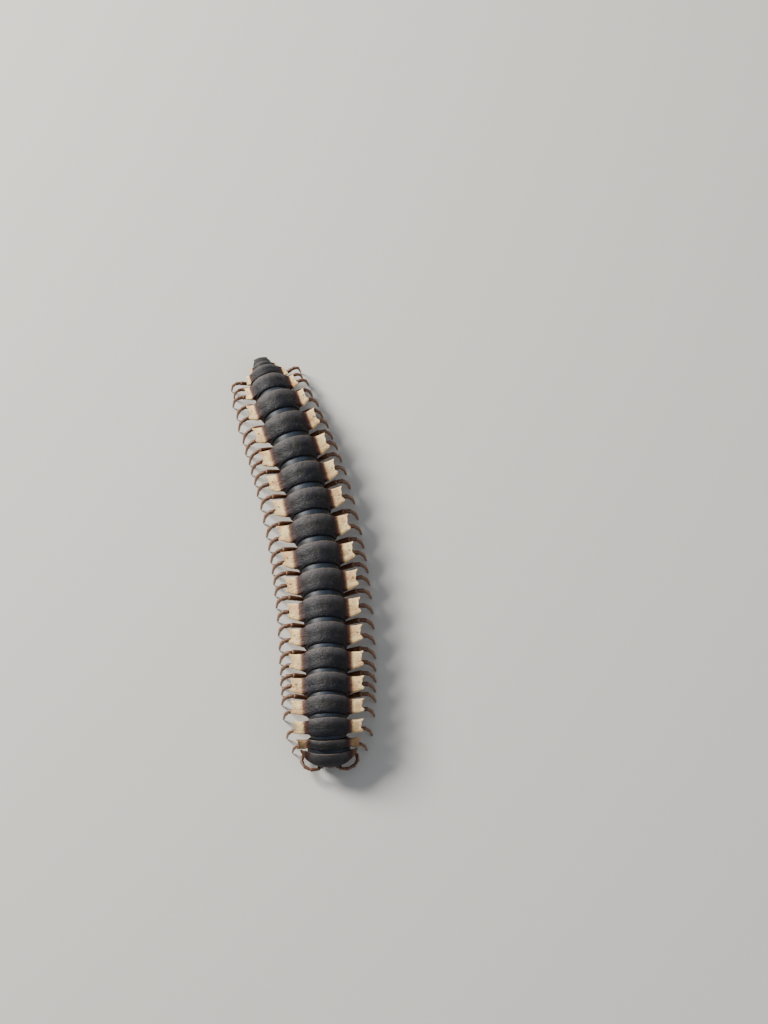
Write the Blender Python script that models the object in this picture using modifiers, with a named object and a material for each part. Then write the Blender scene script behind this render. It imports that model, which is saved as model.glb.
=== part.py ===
"""A barydesmid millipede, life size, standing on its 62 legs, with its head towards -Y and the tail
end of its body bending towards -X.

Each body piece is first modelled straight: X is across the body, Y runs along it from the collum's
rear margin towards the tail, and Z is the height over the body's axis. bend() then lays the piece
along the body line. Legs and antennae are modelled in place, because their tips meet the floor.
All sizes are in metres.
"""

import math
import random

import bmesh
import bpy
from mathutils import Matrix, Vector

GAP = 0.0003
WELD = 1e-6

# The animal looks towards -Y, so its own left is towards +X.
SIDE_NAMES = {1: "left", -1: "right"}

# Body rings. The collum is ring 1, and the telson follows ring 19.
COLLUM = 1
FIRST_RING, LAST_RING = 2, 19
FIRST_DOUBLE_RING, LAST_LEGGED_RING = 5, 18
BODY_WIDTH = 0.0130
RING_LENGTH = 0.0054
BARREL_RADIUS = 0.0041
BARREL_FLATNESS = 0.85
BARREL_SIDES = 16
PROZONITE_SHARE = 0.84
STERNUM_SHARE = 0.90

# A ring's profile behind its prozonite: (share of the barrel's radius, share of the ring's length).
PROZONITE_END = 0.21
METAZONITE = ((0.965, 0.31), (1.0, 0.66), (0.985, 1.0))

# What the end rings lack of a middle ring's size: (share lost, reach in rings, power of the fall),
# at the head's end and at the tail's.
LENGTH_ENDS = ((0.60, 2.95, 1.2), (0.66, 1.93, 1.3))
WIDTH_ENDS = ((0.14, 1.0, 1.2), (0.58, 2.15, 1.3))
BARREL_ENDS = ((0.13, 1.3, 1.0), (0.50, 1.5, 1.3))
LEG_ENDS = ((0.24, 1.6, 1.0), (0.34, 2.6, 1.0))

# The body line: straight behind the head, then turning more and more, turning back a little behind
# ring 15 (an angle per metre), and sinking at both ends. The telson droops further.
AXIS_HEIGHT = 0.0065
BEND, BEND_SPAN, BEND_POWER = math.radians(26.5), 0.0673, 1.35
TURN_BACK_RING, TURN_BACK = 15, math.radians(820)
HEAD_SLOPE, HEAD_SLOPE_REACH, HEAD_SLOPE_POWER = math.radians(37), 0.0044, 2.5
TAIL_SLOPE, TAIL_SLOPE_REACH, TAIL_SLOPE_POWER = math.radians(20.5), 0.0108, 3.0
TELSON_DROOP, TELSON_DROOP_REACH = math.radians(32), 0.0012
LINE_STEP = 0.0001
LINE_START, LINE_OVERRUN = -0.0060, 0.0060

# Paranota, the flat side keels of each ring.
KEEL_ROOT = 0.67
KEEL_ROOT_LENGTH, KEEL_ROOT_POWER = 0.0038, 0.75
KEEL_TIP_LENGTH, KEEL_TIP_POWER = 0.00275, 0.60
KEEL_HOLLOW = 0.00045
KEEL_MIDDLE_TOOTH = 0.00016
KEEL_TOP, KEEL_TOP_FALL = 0.00165, 0.00050
KEEL_ROOT_THICKNESS, KEEL_EDGE_THICKNESS = 0.00135, 0.00052
KEEL_JITTER = 0.00007
KEEL_CORNER, KEEL_TAIL_CORNER, KEEL_TAIL_REACH = -0.00005, 0.00080, 2.5
KEEL_TAIL_TAPER = 0.16

# Legs. Each joint is (share of the leg's reach, height over the hip, height over the floor, share of
# the height over the floor). Each article is (radius behind its root, or None to run straight on
# from the article before, and radius before its end).
LEG_REACH = 0.0086
HIP_OUT = 0.00080
LEG_JOINTS = (
    (0.165, -0.00020, 0.0, 0.0),
    (0.330, 0.00035, 0.0, 0.0),
    (0.705, 0.00205, 0.0041, 0.30),
    (0.845, 0.00195, 0.0040, 0.60),
    (0.945, 0.0, 0.0029, 1.0),
    (1.000, 0.0, 0.00045, 1.0),
)
LEG_ARTICLES = (
    (0.00056, 0.00058),
    (0.00044, 0.00056),
    (0.00038, 0.00050),
    (None, 0.00043),
    (None, 0.00037),
    (None, 0.00027),
)
THINNEST = 0.00025
CLAW_RADIUS = 0.00016
ARTICLE_JOINT = 0.07
LEG_SIDES = 6
WAVE_LEGS, WAVE_SWING = 9.0, 0.00055
LEG_SPREAD = 0.00022
HIP_FORE, HIP_AFT, LONE_HIP = 0.58, 0.16, 0.34
STERNAL_THICKNESS = 0.00080
STERNAL_REACH = 0.00145
STERNAL_MARGIN = 0.00060

# The collum, a shield over the head, and the neck under it.
COLLUM_WIDTH, COLLUM_LENGTH, COLLUM_HEIGHT = 0.0100, 0.00280, 0.00250
COLLUM_FLOOR = 0.00070
NECK_RADIUS, NECK_LENGTH = 0.0021, 0.00075

# The head: places are from the middle of its capsule, as shares of its half sizes.
HEAD_WIDTH, HEAD_DEPTH, HEAD_HEIGHT = 0.0050, 0.0036, 0.0042
HEAD_PLACE = Vector((0.0, -0.00165, -0.00045))
HEAD_TILT = math.radians(-18)
FACE_FLATNESS = 0.92
CHEEK_PLACE, CHEEK_SIZE = (0.72, -0.06, -0.45), (0.00088, 0.00120, 0.00110)
LOWER_LIP_PLACE, LOWER_LIP_SIZE = (0.0, 0.25, -0.74), (0.00125, 0.00085, 0.00050)
UPPER_LIP_WIDTH, UPPER_LIP_NOTCH = 0.0021, 0.00032
UPPER_LIP_FRONT, UPPER_LIP_BACK = -0.00140, -0.00055
UPPER_LIP_TOP, UPPER_LIP_FORK, UPPER_LIP_END = -0.00122, -0.00190, -0.00216

# Antennae: each article's length and radius, and how the feeler swings out and sinks at each.
SOCKET_OUT, SOCKET_UP, SOCKET_LENGTH, SOCKET_RADIUS = 0.00105, 0.00045, 0.00180, 0.00050
SOCKET_DIRECTION = Vector((0.35, -1.0, 0.0)).normalized()
ANTENNA_ARTICLES = (0.00055, 0.00125, 0.00135, 0.00125, 0.00115, 0.00120, 0.00060)
ANTENNA_RADII = (0.00033, 0.00034, 0.00035, 0.00035, 0.00036, 0.00038, 0.00030)
ANTENNA_START, ANTENNA_TIP = 0.00045, 0.00015
ANTENNA_OUT = (math.radians(58), math.radians(33))
ANTENNA_SINK = (math.radians(2), math.radians(4))

# The telson: a short ring, the broad flat epiproct over it, and the two anal valves.
TELSON_SHARE, TELSON_LENGTH = 0.84, 0.0015
EPIPROCT_LENGTH, EPIPROCT_WIDTH, EPIPROCT_THICKNESS = 0.0015, 0.0025, 0.00060

# Colours: (red, green, blue), roughness.
DARK = ((0.020, 0.020, 0.023), 0.50)
BLUISH = ((0.045, 0.070, 0.085), 0.35)
TAN = ((0.62, 0.40, 0.23), 0.48)
BROWN = ((0.085, 0.040, 0.024), 0.45)


def swell(ring, ends):
    """A ring's share of a middle ring's size."""
    share = 1.0
    for distance, (lost, reach, power) in zip((ring - FIRST_RING, LAST_RING - ring), ends):
        share *= 1 - lost * math.exp(-((max(distance, 0) / reach) ** power))
    return share


def rim_places():
    """How far along the body line each ring's rear margin lies, from the collum's, by ring."""
    places = {COLLUM: 0.0}
    for ring in range(FIRST_RING, LAST_RING + 1):
        places[ring] = places[ring - 1] + RING_LENGTH * swell(ring, LENGTH_ENDS)
    return places


RIMS = rim_places()
LINE_END = RIMS[LAST_RING] + LINE_OVERRUN


def direction(along):
    """The body line's direction towards the tail."""
    turned_by = BEND * max((along - RIMS[FIRST_DOUBLE_RING]) / BEND_SPAN, 0.0) ** BEND_POWER
    turned_by -= TURN_BACK * max(along - RIMS[TURN_BACK_RING], 0.0)
    rise = HEAD_SLOPE * math.exp(-((max(along, 0.0) / HEAD_SLOPE_REACH) ** HEAD_SLOPE_POWER))
    ahead = max(RIMS[LAST_RING] - along, 0.0)
    rise -= TAIL_SLOPE * math.exp(-((ahead / TAIL_SLOPE_REACH) ** TAIL_SLOPE_POWER))
    behind = along - RIMS[LAST_RING] - GAP
    rise -= TELSON_DROOP * min(max(behind / TELSON_DROOP_REACH, 0.0), 1.0)
    level = math.cos(rise)
    return Vector((-math.sin(turned_by) * level, math.cos(turned_by) * level, math.sin(rise)))


def body_line():
    """Points every LINE_STEP along the body's axis, with its highest at AXIS_HEIGHT."""
    points = [Vector((0.0, 0.0, 0.0))]
    for step in range(round((LINE_END - LINE_START) / LINE_STEP)):
        points.append(points[-1] + direction(LINE_START + (step + 0.5) * LINE_STEP) * LINE_STEP)
    lift = AXIS_HEIGHT - max(point.z for point in points)
    return [point + Vector((0.0, 0.0, lift)) for point in points]


LINE = body_line()


def line_frame(along):
    """The axis point at this distance, with the directions right, back towards the tail, and up."""
    place = (along - LINE_START) / LINE_STEP
    index = min(max(int(place), 0), len(LINE) - 2)
    point = LINE[index].lerp(LINE[index + 1], place - index)
    back = direction(along)
    right = Vector((back.y, -back.x, 0.0)).normalized()
    return point, right, back, right.cross(back)


def bend(obj):
    """Lays a straight piece along the body line."""
    for vertex in obj.data.vertices:
        point, right, _, up = line_frame(vertex.co.y)
        vertex.co = point + right * vertex.co.x + up * vertex.co.z
    return obj


def barrel_radius(ring):
    return BARREL_RADIUS * swell(ring, BARREL_ENDS)


def belly_height(ring):
    """How far under the axis a ring's flat sternum lies, as a height over the axis."""
    return -barrel_radius(ring) * BARREL_FLATNESS * STERNUM_SHARE


def near_tail(ring):
    """0 along most of the body, rising to 1 at the last ring."""
    return math.exp(-(LAST_RING - ring) / KEEL_TAIL_REACH)


def material(name, colour, roughness):
    made = bpy.data.materials.new(name)
    made.use_nodes = True
    shader = made.node_tree.nodes["Principled BSDF"]
    shader.inputs["Base Color"].default_value = (*colour, 1.0)
    shader.inputs["Roughness"].default_value = roughness
    return made


def add_object(name, mesh):
    obj = bpy.data.objects.new(name, mesh)
    bpy.context.scene.collection.objects.link(obj)
    return obj


def as_mesh(obj):
    """The object with its modifiers or its curve made a closed, welded mesh that faces outwards."""
    bpy.context.view_layer.update()
    graph = bpy.context.evaluated_depsgraph_get()
    mesh = bpy.data.meshes.new_from_object(obj.evaluated_get(graph))
    made = add_object(obj.name + "_mesh", mesh)
    made.matrix_world = obj.matrix_world
    bpy.data.objects.remove(obj)
    shell = bmesh.new()
    shell.from_mesh(mesh)
    bmesh.ops.remove_doubles(shell, verts=shell.verts, dist=WELD)
    bmesh.ops.recalc_face_normals(shell, faces=shell.faces)
    shell.to_mesh(mesh)
    shell.free()
    return made


def turned(profile, sides, flatness=1.0):
    """A shape turned round the Y axis from (radius, place) points, with its height flattened."""
    mesh = bpy.data.meshes.new("profile")
    points = [(radius, place, 0.0) for radius, place in profile]
    mesh.from_pydata(points, [(i, i + 1) for i in range(len(points) - 1)], [])
    obj = add_object("turned", mesh)
    screw = obj.modifiers.new("Screw", "SCREW")
    screw.axis = "Y"
    screw.steps = screw.render_steps = sides
    screw.use_merge_vertices = True
    screw.merge_threshold = WELD
    made = as_mesh(obj)
    made.data.transform(Matrix.Diagonal((1.0, 1.0, flatness, 1.0)))
    return made


def flat_plate(outline, thickness):
    """A plate with this (across, along) outline, half its thickness below Z = 0 and half above."""
    curve = bpy.data.curves.new("outline", "CURVE")
    curve.dimensions = "2D"
    curve.fill_mode = "BOTH"
    curve.extrude = thickness / 2
    spline = curve.splines.new("POLY")
    spline.points.add(len(outline) - 1)
    for point, (across, along) in zip(spline.points, outline):
        point.co = (across, along, 0.0, 1.0)
    spline.use_cyclic_u = True
    return as_mesh(add_object("plate", curve))


def tube(points, radii, sides):
    """A closed tube through the points, with its own radius at each."""
    curve = bpy.data.curves.new("tube", "CURVE")
    curve.dimensions = "3D"
    curve.bevel_depth = 1.0
    curve.bevel_resolution = sides // 2 - 2
    curve.use_fill_caps = True
    spline = curve.splines.new("POLY")
    spline.points.add(len(points) - 1)
    for point, place, radius in zip(spline.points, points, radii):
        point.co = (*place, 1.0)
        point.radius = radius
    return as_mesh(add_object("tube", curve))


def jointed_tube(joints, articles, tip, sides):
    """A limb with one article from each joint to the next, and the tip, as (point, radius), last."""
    points, radii = [joints[0]], [articles[0][0]]
    for start, end, (narrow, wide) in zip(joints, joints[1:], articles):
        if narrow and start is not joints[0]:
            points.append(start.lerp(end, ARTICLE_JOINT))
            radii.append(narrow)
        points.append(start.lerp(end, 1 - ARTICLE_JOINT))
        radii.append(wide)
    points[-1] = joints[-1]
    points.append(tip[0])
    radii.append(tip[1])
    return tube(points, radii, sides)


def ball(place, radii, sides, rings):
    """An ellipsoid."""
    mesh = bpy.data.meshes.new("ball")
    shell = bmesh.new()
    size = Matrix.Translation(place) @ Matrix.Diagonal((*radii, 1.0))
    bmesh.ops.create_uvsphere(shell, u_segments=sides, v_segments=rings, radius=1.0, matrix=size)
    shell.to_mesh(mesh)
    shell.free()
    return add_object("ball", mesh)


def block(low, high):
    """A box between two corners."""
    mesh = bpy.data.meshes.new("block")
    shell = bmesh.new()
    size = Matrix.Translation((low + high) / 2) @ Matrix.Diagonal((*(high - low), 1.0))
    bmesh.ops.create_cube(shell, size=1.0, matrix=size)
    shell.to_mesh(mesh)
    shell.free()
    return add_object("block", mesh)


def keep_largest(obj):
    """Drops every loose surface of the mesh but the largest."""
    shell = bmesh.new()
    shell.from_mesh(obj.data)
    left, surfaces = set(shell.verts), []
    while left:
        found, edge = set(), [next(iter(left))]
        while edge:
            vertex = edge.pop()
            if vertex in left:
                left.remove(vertex)
                found.add(vertex)
                edge += [link.other_vert(vertex) for link in vertex.link_edges]
        surfaces.append(found)
    largest = max(surfaces, key=len)
    loose = [vertex for surface in surfaces if surface is not largest for vertex in surface]
    bmesh.ops.delete(shell, geom=loose, context="VERTS")
    bmesh.ops.triangulate(shell, faces=shell.faces)
    shell.to_mesh(obj.data)
    shell.free()


def combine(name, base, others, operation="UNION"):
    """One solid from a base and the others, joined or cut away."""
    group = bpy.data.collections.new("operands")
    bpy.context.scene.collection.children.link(group)
    for other in others:
        bpy.context.scene.collection.objects.unlink(other)
        group.objects.link(other)
    boolean = base.modifiers.new("Boolean", "BOOLEAN")
    boolean.operation = operation
    boolean.solver = "EXACT"
    boolean.operand_type = "COLLECTION"
    boolean.collection = group
    made = as_mesh(base)
    made.name = name
    keep_largest(made)
    for other in others:
        bpy.data.objects.remove(other)
    bpy.data.collections.remove(group)
    return made


def paint(obj, materials, choose):
    """Gives the object its materials, and each face the one that choose() picks by its centre."""
    for made in materials:
        obj.data.materials.append(made)
    for face in obj.data.polygons:
        face.material_index = choose(face.center)


def ring_barrel(ring):
    """The round part of a ring: the slim prozonite in front, and the raised metazonite behind it."""
    front, rim = RIMS[ring - 1] + GAP, RIMS[ring]
    radius = barrel_radius(ring)
    slim = radius * PROZONITE_SHARE
    profile = [(0.0, front), (slim, front), (slim, front + PROZONITE_END * (rim - front))]
    profile += [(radius * share, front + place * (rim - front)) for share, place in METAZONITE]
    barrel = turned(profile + [(0.0, rim)], BARREL_SIDES, BARREL_FLATNESS)
    for vertex in barrel.data.vertices:
        vertex.co.z = max(vertex.co.z, belly_height(ring))
    return barrel


def keel_outline(ring, side, draw):
    """A paranotum's outline: a straight rear edge, two lateral teeth with a small one between them
    on a hollow edge, and a slanting front edge."""
    rim = RIMS[ring]
    size = swell(ring, LENGTH_ENDS)
    half = BODY_WIDTH / 2 * swell(ring, WIDTH_ENDS)
    root = KEEL_ROOT * barrel_radius(ring)
    tip_length = KEEL_TIP_LENGTH * size**KEEL_TIP_POWER
    root_length = KEEL_ROOT_LENGTH * size**KEEL_ROOT_POWER
    corner = KEEL_CORNER + KEEL_TAIL_CORNER * near_tail(ring)
    rear_half = half * (1 - KEEL_TAIL_TAPER * near_tail(ring))
    hollow = (half + rear_half) / 2 - KEEL_HOLLOW
    teeth = [
        (half * 0.97, rim - tip_length - 0.00012),
        (half, rim - tip_length + 0.00020),
        (hollow, rim - tip_length * 0.64),
        (hollow + KEEL_MIDDLE_TOOTH, rim - tip_length * 0.48),
        (hollow - 0.00003, rim - tip_length * 0.34),
        (rear_half, rim + corner),
    ]
    teeth = [(x + draw.uniform(-1, 1) * KEEL_JITTER, y + draw.uniform(-1, 1) * KEEL_JITTER) for x, y in teeth]
    front = [(root, rim - root_length * 1.03), (half * 0.78, rim - root_length)]
    rear = [(rear_half - 0.00045, rim + corner * 0.35 - 0.00004), (root, rim - 0.00010)]
    return [(side * x, y) for x, y in front + teeth + rear]


def keel(ring, side, draw):
    """One paranotum: its outline as a plate that thins towards the edge and slopes down a little."""
    plate = flat_plate(keel_outline(ring, side, draw), 1.0)
    share = swell(ring, BARREL_ENDS)
    half = BODY_WIDTH / 2 * swell(ring, WIDTH_ENDS)
    root = KEEL_ROOT * barrel_radius(ring)
    for vertex in plate.data.vertices:
        out = (abs(vertex.co.x) - root) / (half - root)
        top = KEEL_TOP * share - KEEL_TOP_FALL * out
        thickness = KEEL_ROOT_THICKNESS * share * (1 - out) + KEEL_EDGE_THICKNESS * out
        vertex.co.z = top if vertex.co.z > 0 else top - thickness
    return plate


def ring_solid(ring, colours, draw):
    """One body ring with both its paranota."""
    keels = [keel(ring, side, draw) for side in (-1, 1)]
    made = combine(f"ring_{ring:02d}", ring_barrel(ring), keels)
    prozonite_end = RIMS[ring - 1] + GAP + PROZONITE_END * (RIMS[ring] - RIMS[ring - 1] - GAP)

    def choose(centre):
        if abs(centre.x) > barrel_radius(ring) and centre.z > 0:
            return 2
        return int(centre.y < prozonite_end)

    paint(made, colours, choose)
    return bend(made)


def cut_flat(obj, point, normal):
    """Cuts away what lies on the normal's side of a plane, and closes the cut."""
    shell = bmesh.new()
    shell.from_mesh(obj.data)
    geometry = shell.verts[:] + shell.edges[:] + shell.faces[:]
    bmesh.ops.bisect_plane(shell, geom=geometry, plane_co=point, plane_no=normal, clear_outer=True)
    bmesh.ops.holes_fill(shell, edges=[edge for edge in shell.edges if edge.is_boundary])
    bmesh.ops.recalc_face_normals(shell, faces=shell.faces)
    shell.to_mesh(obj.data)
    shell.free()


def collum(colours):
    """The collum: a shield over the back of the head, a quarter of an ellipsoid, on a short neck."""
    shield = ball((0, 0, COLLUM_FLOOR), (COLLUM_WIDTH / 2, COLLUM_LENGTH, COLLUM_HEIGHT), 20, 10)
    cut_flat(shield, (0, 0, 0), (0, 1, 0))
    cut_flat(shield, (0, 0, COLLUM_FLOOR), (0, 0, -1))
    neck = turned(((0, -NECK_LENGTH), (NECK_RADIUS, -NECK_LENGTH), (NECK_RADIUS, 0), (0, 0)), 12)
    made = combine("collum", shield, [neck])
    paint(made, colours, lambda centre: int(abs(centre.x) > 0.40 * COLLUM_WIDTH))
    return bend(made)


def head_matrix():
    """Where the head sits: under the front of the collum."""
    point, right, back, up = line_frame(0.0)
    axes = Matrix((right, back, up)).transposed().to_4x4()
    tilt = Matrix.Rotation(HEAD_TILT, 4, "X")
    return Matrix.Translation(point) @ axes @ Matrix.Translation(HEAD_PLACE) @ tilt


def head_point(shares):
    """A place in the head, from shares of its half sizes."""
    return Vector([share * size / 2 for share, size in zip(shares, (HEAD_WIDTH, HEAD_DEPTH, HEAD_HEIGHT))])


def collum_clearance():
    """The room that the head leaves for the collum and its neck."""
    low, high = COLLUM_FLOOR - GAP, 0.0050
    over = block(Vector((-0.006, -0.0060, low)), Vector((0.006, 0.0, high)))
    behind = block(Vector((-0.006, -NECK_LENGTH - GAP, -0.0060)), Vector((0.006, 0.0, low + 0.0001)))
    return bend(combine("clearance", over, [behind]))


def head(colours):
    """Head capsule, cheeks, the notched upper lip, the lower lip plate and both antennal sockets."""
    skull = ball((0, 0, 0), (HEAD_WIDTH / 2, HEAD_DEPTH / 2, HEAD_HEIGHT / 2), 16, 10)
    for vertex in skull.data.vertices:
        vertex.co.y *= FACE_FLATNESS if vertex.co.y < 0 else 1.0
    front, back, top = UPPER_LIP_FRONT, UPPER_LIP_BACK, UPPER_LIP_TOP
    half, notch = UPPER_LIP_WIDTH / 2, UPPER_LIP_NOTCH / 2
    pieces = [
        block(Vector((-half, front, UPPER_LIP_FORK)), Vector((half, back, top))),
        ball(head_point(LOWER_LIP_PLACE), LOWER_LIP_SIZE, 10, 6),
    ]
    for side in (-1, 1):
        out, up, inward = CHEEK_PLACE[0] * side, CHEEK_PLACE[2], CHEEK_PLACE[1]
        pieces.append(ball(head_point((out, inward, up)), CHEEK_SIZE, 10, 6))
        near, far = sorted((side * notch, side * half))
        lobe_low = Vector((near, front + 0.00004, UPPER_LIP_END))
        lobe_high = Vector((far, back - 0.00004, UPPER_LIP_FORK + 0.00020))
        pieces.append(block(lobe_low, lobe_high))
        pieces.append(tube(socket(side), [SOCKET_RADIUS, SOCKET_RADIUS], 8))
    made = combine("head", skull, pieces)
    made.data.transform(head_matrix())
    made = combine("head", made, [collum_clearance()], "DIFFERENCE")
    paint(made, colours, lambda centre: 0)
    return made


def socket(side):
    """The ends of an antennal socket, from inside the head capsule to its face."""
    root = Vector((side * SOCKET_OUT, 0.0, SOCKET_UP))
    out = Vector((side * SOCKET_DIRECTION.x, SOCKET_DIRECTION.y, SOCKET_DIRECTION.z))
    return [root, root + out * SOCKET_LENGTH]


def antenna(side, colours):
    """An antenna of seven articles and its blunt tip, out from the face and curled back beside it."""
    root, face = (head_matrix() @ end for end in socket(side))
    joints = [face + (face - root).normalized() * ANTENNA_START]
    for number, length in enumerate(ANTENNA_ARTICLES):
        out = side * (ANTENNA_OUT[0] + ANTENNA_OUT[1] * number)
        sink = ANTENNA_SINK[0] + ANTENNA_SINK[1] * number
        heading = Vector((math.sin(out) * math.cos(sink), -math.cos(out) * math.cos(sink), -math.sin(sink)))
        joints.append(joints[-1] + heading * length)
    articles = [(max(radius * 0.75, THINNEST), radius) for radius in ANTENNA_RADII]
    tip = (joints[-1] + heading * ANTENNA_TIP, ANTENNA_RADII[-1] * 0.5)
    made = jointed_tube(joints, articles, tip, LEG_SIDES)
    made.name = f"antenna_{SIDE_NAMES[side]}"
    paint(made, colours, lambda centre: 0)
    return made


def hip_places(ring):
    """How far along the body line the legs of one side of a ring stand."""
    rim, length = RIMS[ring], RIMS[ring] - RIMS[ring - 1]
    shares = [LONE_HIP] if ring < FIRST_DOUBLE_RING else [HIP_FORE, HIP_AFT]
    return [rim - share * length for share in shares]


def leg(ring, side, along, swing):
    """One leg: coxa, prefemur, femur, postfemur, tibia, tarsus and claw, down to a flat on the floor."""
    size = swell(ring, LEG_ENDS)
    point, right, back, up = line_frame(along)
    out = right * side
    level_back = Vector((back.x, back.y, 0.0)).normalized()
    hip = point + up * (belly_height(ring) - GAP - STERNAL_THICKNESS * 0.45) + out * HIP_OUT
    joints = [hip]
    for reach, over_hip, over_floor, share in LEG_JOINTS:
        height = (1 - share) * (hip.z + over_hip * size) + share * over_floor * size
        across = HIP_OUT + reach * (LEG_REACH * size - HIP_OUT)
        place = point + out * across + level_back * swing * reach
        joints.append(Vector((place.x, place.y, height)))
    foot = Vector((joints[-1].x, joints[-1].y, 0.0))
    articles = [[radius and max(radius * size, THINNEST) for radius in pair] for pair in LEG_ARTICLES]
    return jointed_tube(joints, articles, (foot, CLAW_RADIUS), LEG_SIDES)


def sternal_plate(ring, side, hips):
    """Half of a ring's raised sternum, which carries the legs of one side."""
    top = belly_height(ring) - GAP
    near, far = sorted((side * GAP / 2, side * STERNAL_REACH * swell(ring, BARREL_ENDS)))
    low = Vector((near, hips[0] - STERNAL_MARGIN, top - STERNAL_THICKNESS))
    high = Vector((far, hips[-1] + STERNAL_MARGIN, top))
    return bend(block(low, high))


def legs(ring, side, first_number, colours):
    """The one or two legs of one side of a ring, on their half of its sternum."""
    hips = hip_places(ring)
    made = []
    for index, along in enumerate(hips):
        wave = math.sin(math.tau * (first_number + index) / WAVE_LEGS)
        spread = LEG_SPREAD * (2 * index - 1) if len(hips) > 1 else 0.0
        made.append(leg(ring, side, along, WAVE_SWING * wave + spread))
    name = f"legs_{SIDE_NAMES[side]}_{ring:02d}"
    joined = combine(name, sternal_plate(ring, side, hips), made)
    paint(joined, colours, lambda centre: 0)
    return joined


def telson(colours):
    """The tail piece: a short ring, the broad flat epiproct over it, and the two anal valves."""
    start = RIMS[LAST_RING] + GAP
    end = start + TELSON_LENGTH
    radius = barrel_radius(LAST_RING) * TELSON_SHARE
    base = turned(((0, start), (radius, start), (radius * 0.90, end), (0, end)), 14, BARREL_FLATNESS)
    half, tip = EPIPROCT_WIDTH / 2, end + EPIPROCT_LENGTH
    side_points = [
        (half, start + 0.0003),
        (half * 0.86, end),
        (half * 0.92, tip - 0.0009),
        (half * 0.66, tip - 0.0002),
    ]
    outline = side_points + [(0.0, tip)] + [(-x, y) for x, y in reversed(side_points)]
    epiproct = flat_plate(outline, EPIPROCT_THICKNESS)
    epiproct.data.transform(Matrix.Translation((0, 0, radius * BARREL_FLATNESS * 0.55)))
    valves = []
    for side in (-1, 1):
        place = Vector((side * radius * 0.34, end - 0.00015, -radius * 0.22))
        valves.append(ball(place, (radius * 0.42, 0.00075, radius * 0.62), 10, 6))
    made = combine("telson", base, [epiproct, *valves])
    paint(made, colours, lambda centre: 0)
    return bend(made)


def shade(obj):
    """Smooth shading, with sharp edges where the form turns sharply."""
    obj.data.shade_smooth()
    obj.data.set_sharp_from_angle(angle=math.radians(35))


def set_on_origin(objects):
    """Moves the model so that the middle of its box is over the origin."""
    xs = [vertex.co.x for obj in objects for vertex in obj.data.vertices]
    ys = [vertex.co.y for obj in objects for vertex in obj.data.vertices]
    shift = Vector((-(min(xs) + max(xs)) / 2, -(min(ys) + max(ys)) / 2, 0.0))
    for obj in objects:
        obj.data.transform(Matrix.Translation(shift))


def main():
    for obj in list(bpy.data.objects):
        bpy.data.objects.remove(obj)
    named_colours = (("dorsum", DARK), ("prozonites", BLUISH), ("paranota", TAN), ("legs", BROWN))
    dark, bluish, tan, brown = (material(name, *colour) for name, colour in named_colours)
    draw = random.Random(20)
    made = [head([dark]), collum([dark, tan])]
    made += [antenna(side, [brown]) for side in (-1, 1)]
    number = 0
    for ring in range(FIRST_RING, LAST_RING + 1):
        made.append(ring_solid(ring, [dark, bluish, tan], draw))
        if ring <= LAST_LEGGED_RING:
            made += [legs(ring, side, number, [brown]) for side in (-1, 1)]
            number += len(hip_places(ring))
    made.append(telson([dark]))
    body = bpy.data.collections.new("barydesmid_millipede")
    bpy.context.scene.collection.children.link(body)
    for obj in made:
        bpy.context.scene.collection.objects.unlink(obj)
        body.objects.link(obj)
        shade(obj)
    set_on_origin(made)
    print(len(made), "pieces,", number, "pairs of legs")


main()
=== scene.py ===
# %% [markdown]
# # A barydesmid millipede, dressed for a museum shelf
#
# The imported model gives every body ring, leg pair, feeler and plate its true size and place. This
# lesson puts the finish on it: granular dark rings with tan side keels, smooth bluish bands between
# them, reddish brown legs with claws, and a head with its sutures, lips and sense organs.
#
# The animal is about 8 cm long, and most of Blender's tools have limits made for rooms and chairs.
# So every piece is modelled at one Blender unit to the millimetre, and made small when it is laid in
# its place.

# %% Load the frame
import math
import random

import bmesh
import bpy
import numpy as np
from mathutils import Matrix, Vector


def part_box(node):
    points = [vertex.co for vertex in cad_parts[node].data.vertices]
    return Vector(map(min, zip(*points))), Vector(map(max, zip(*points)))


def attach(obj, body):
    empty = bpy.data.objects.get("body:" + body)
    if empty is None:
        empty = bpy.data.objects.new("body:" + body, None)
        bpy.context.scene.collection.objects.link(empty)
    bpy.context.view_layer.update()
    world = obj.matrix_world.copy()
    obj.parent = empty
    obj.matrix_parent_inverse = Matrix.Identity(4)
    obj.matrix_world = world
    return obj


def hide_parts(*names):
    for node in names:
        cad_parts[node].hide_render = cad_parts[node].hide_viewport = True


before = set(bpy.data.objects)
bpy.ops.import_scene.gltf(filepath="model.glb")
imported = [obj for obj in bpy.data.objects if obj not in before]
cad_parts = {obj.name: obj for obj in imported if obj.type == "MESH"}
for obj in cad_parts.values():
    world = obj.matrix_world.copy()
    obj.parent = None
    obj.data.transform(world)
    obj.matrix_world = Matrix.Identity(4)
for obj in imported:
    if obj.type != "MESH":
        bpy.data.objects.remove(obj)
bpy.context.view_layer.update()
MM = 0.001

# %% [markdown]
# ## The body line
#
# All rings are threaded on one line, the body's axis. It runs straight behind the head, turns
# steadily towards the tail, and sinks at both ends, most of all at the tail piece. A curve object
# with a Curve modifier could bend the rings, but its tilt drifts where the line climbs, and a keel
# must stay level. So the line is a list of stations a tenth of a millimetre apart, each with its own
# right and up.

# %% Ring sizes along the body
COLLUM, FIRST_RING, LAST_RING = 1, 2, 19
FIRST_DOUBLE_RING, LAST_LEGGED_RING = 5, 18
RING_LENGTH, BARREL_RADIUS, KEEL_SPAN = 5.4, 4.1, 13.0
BARREL_FLATNESS, STERNUM_SHARE = 0.85, 0.90
GAP = 0.3

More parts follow.
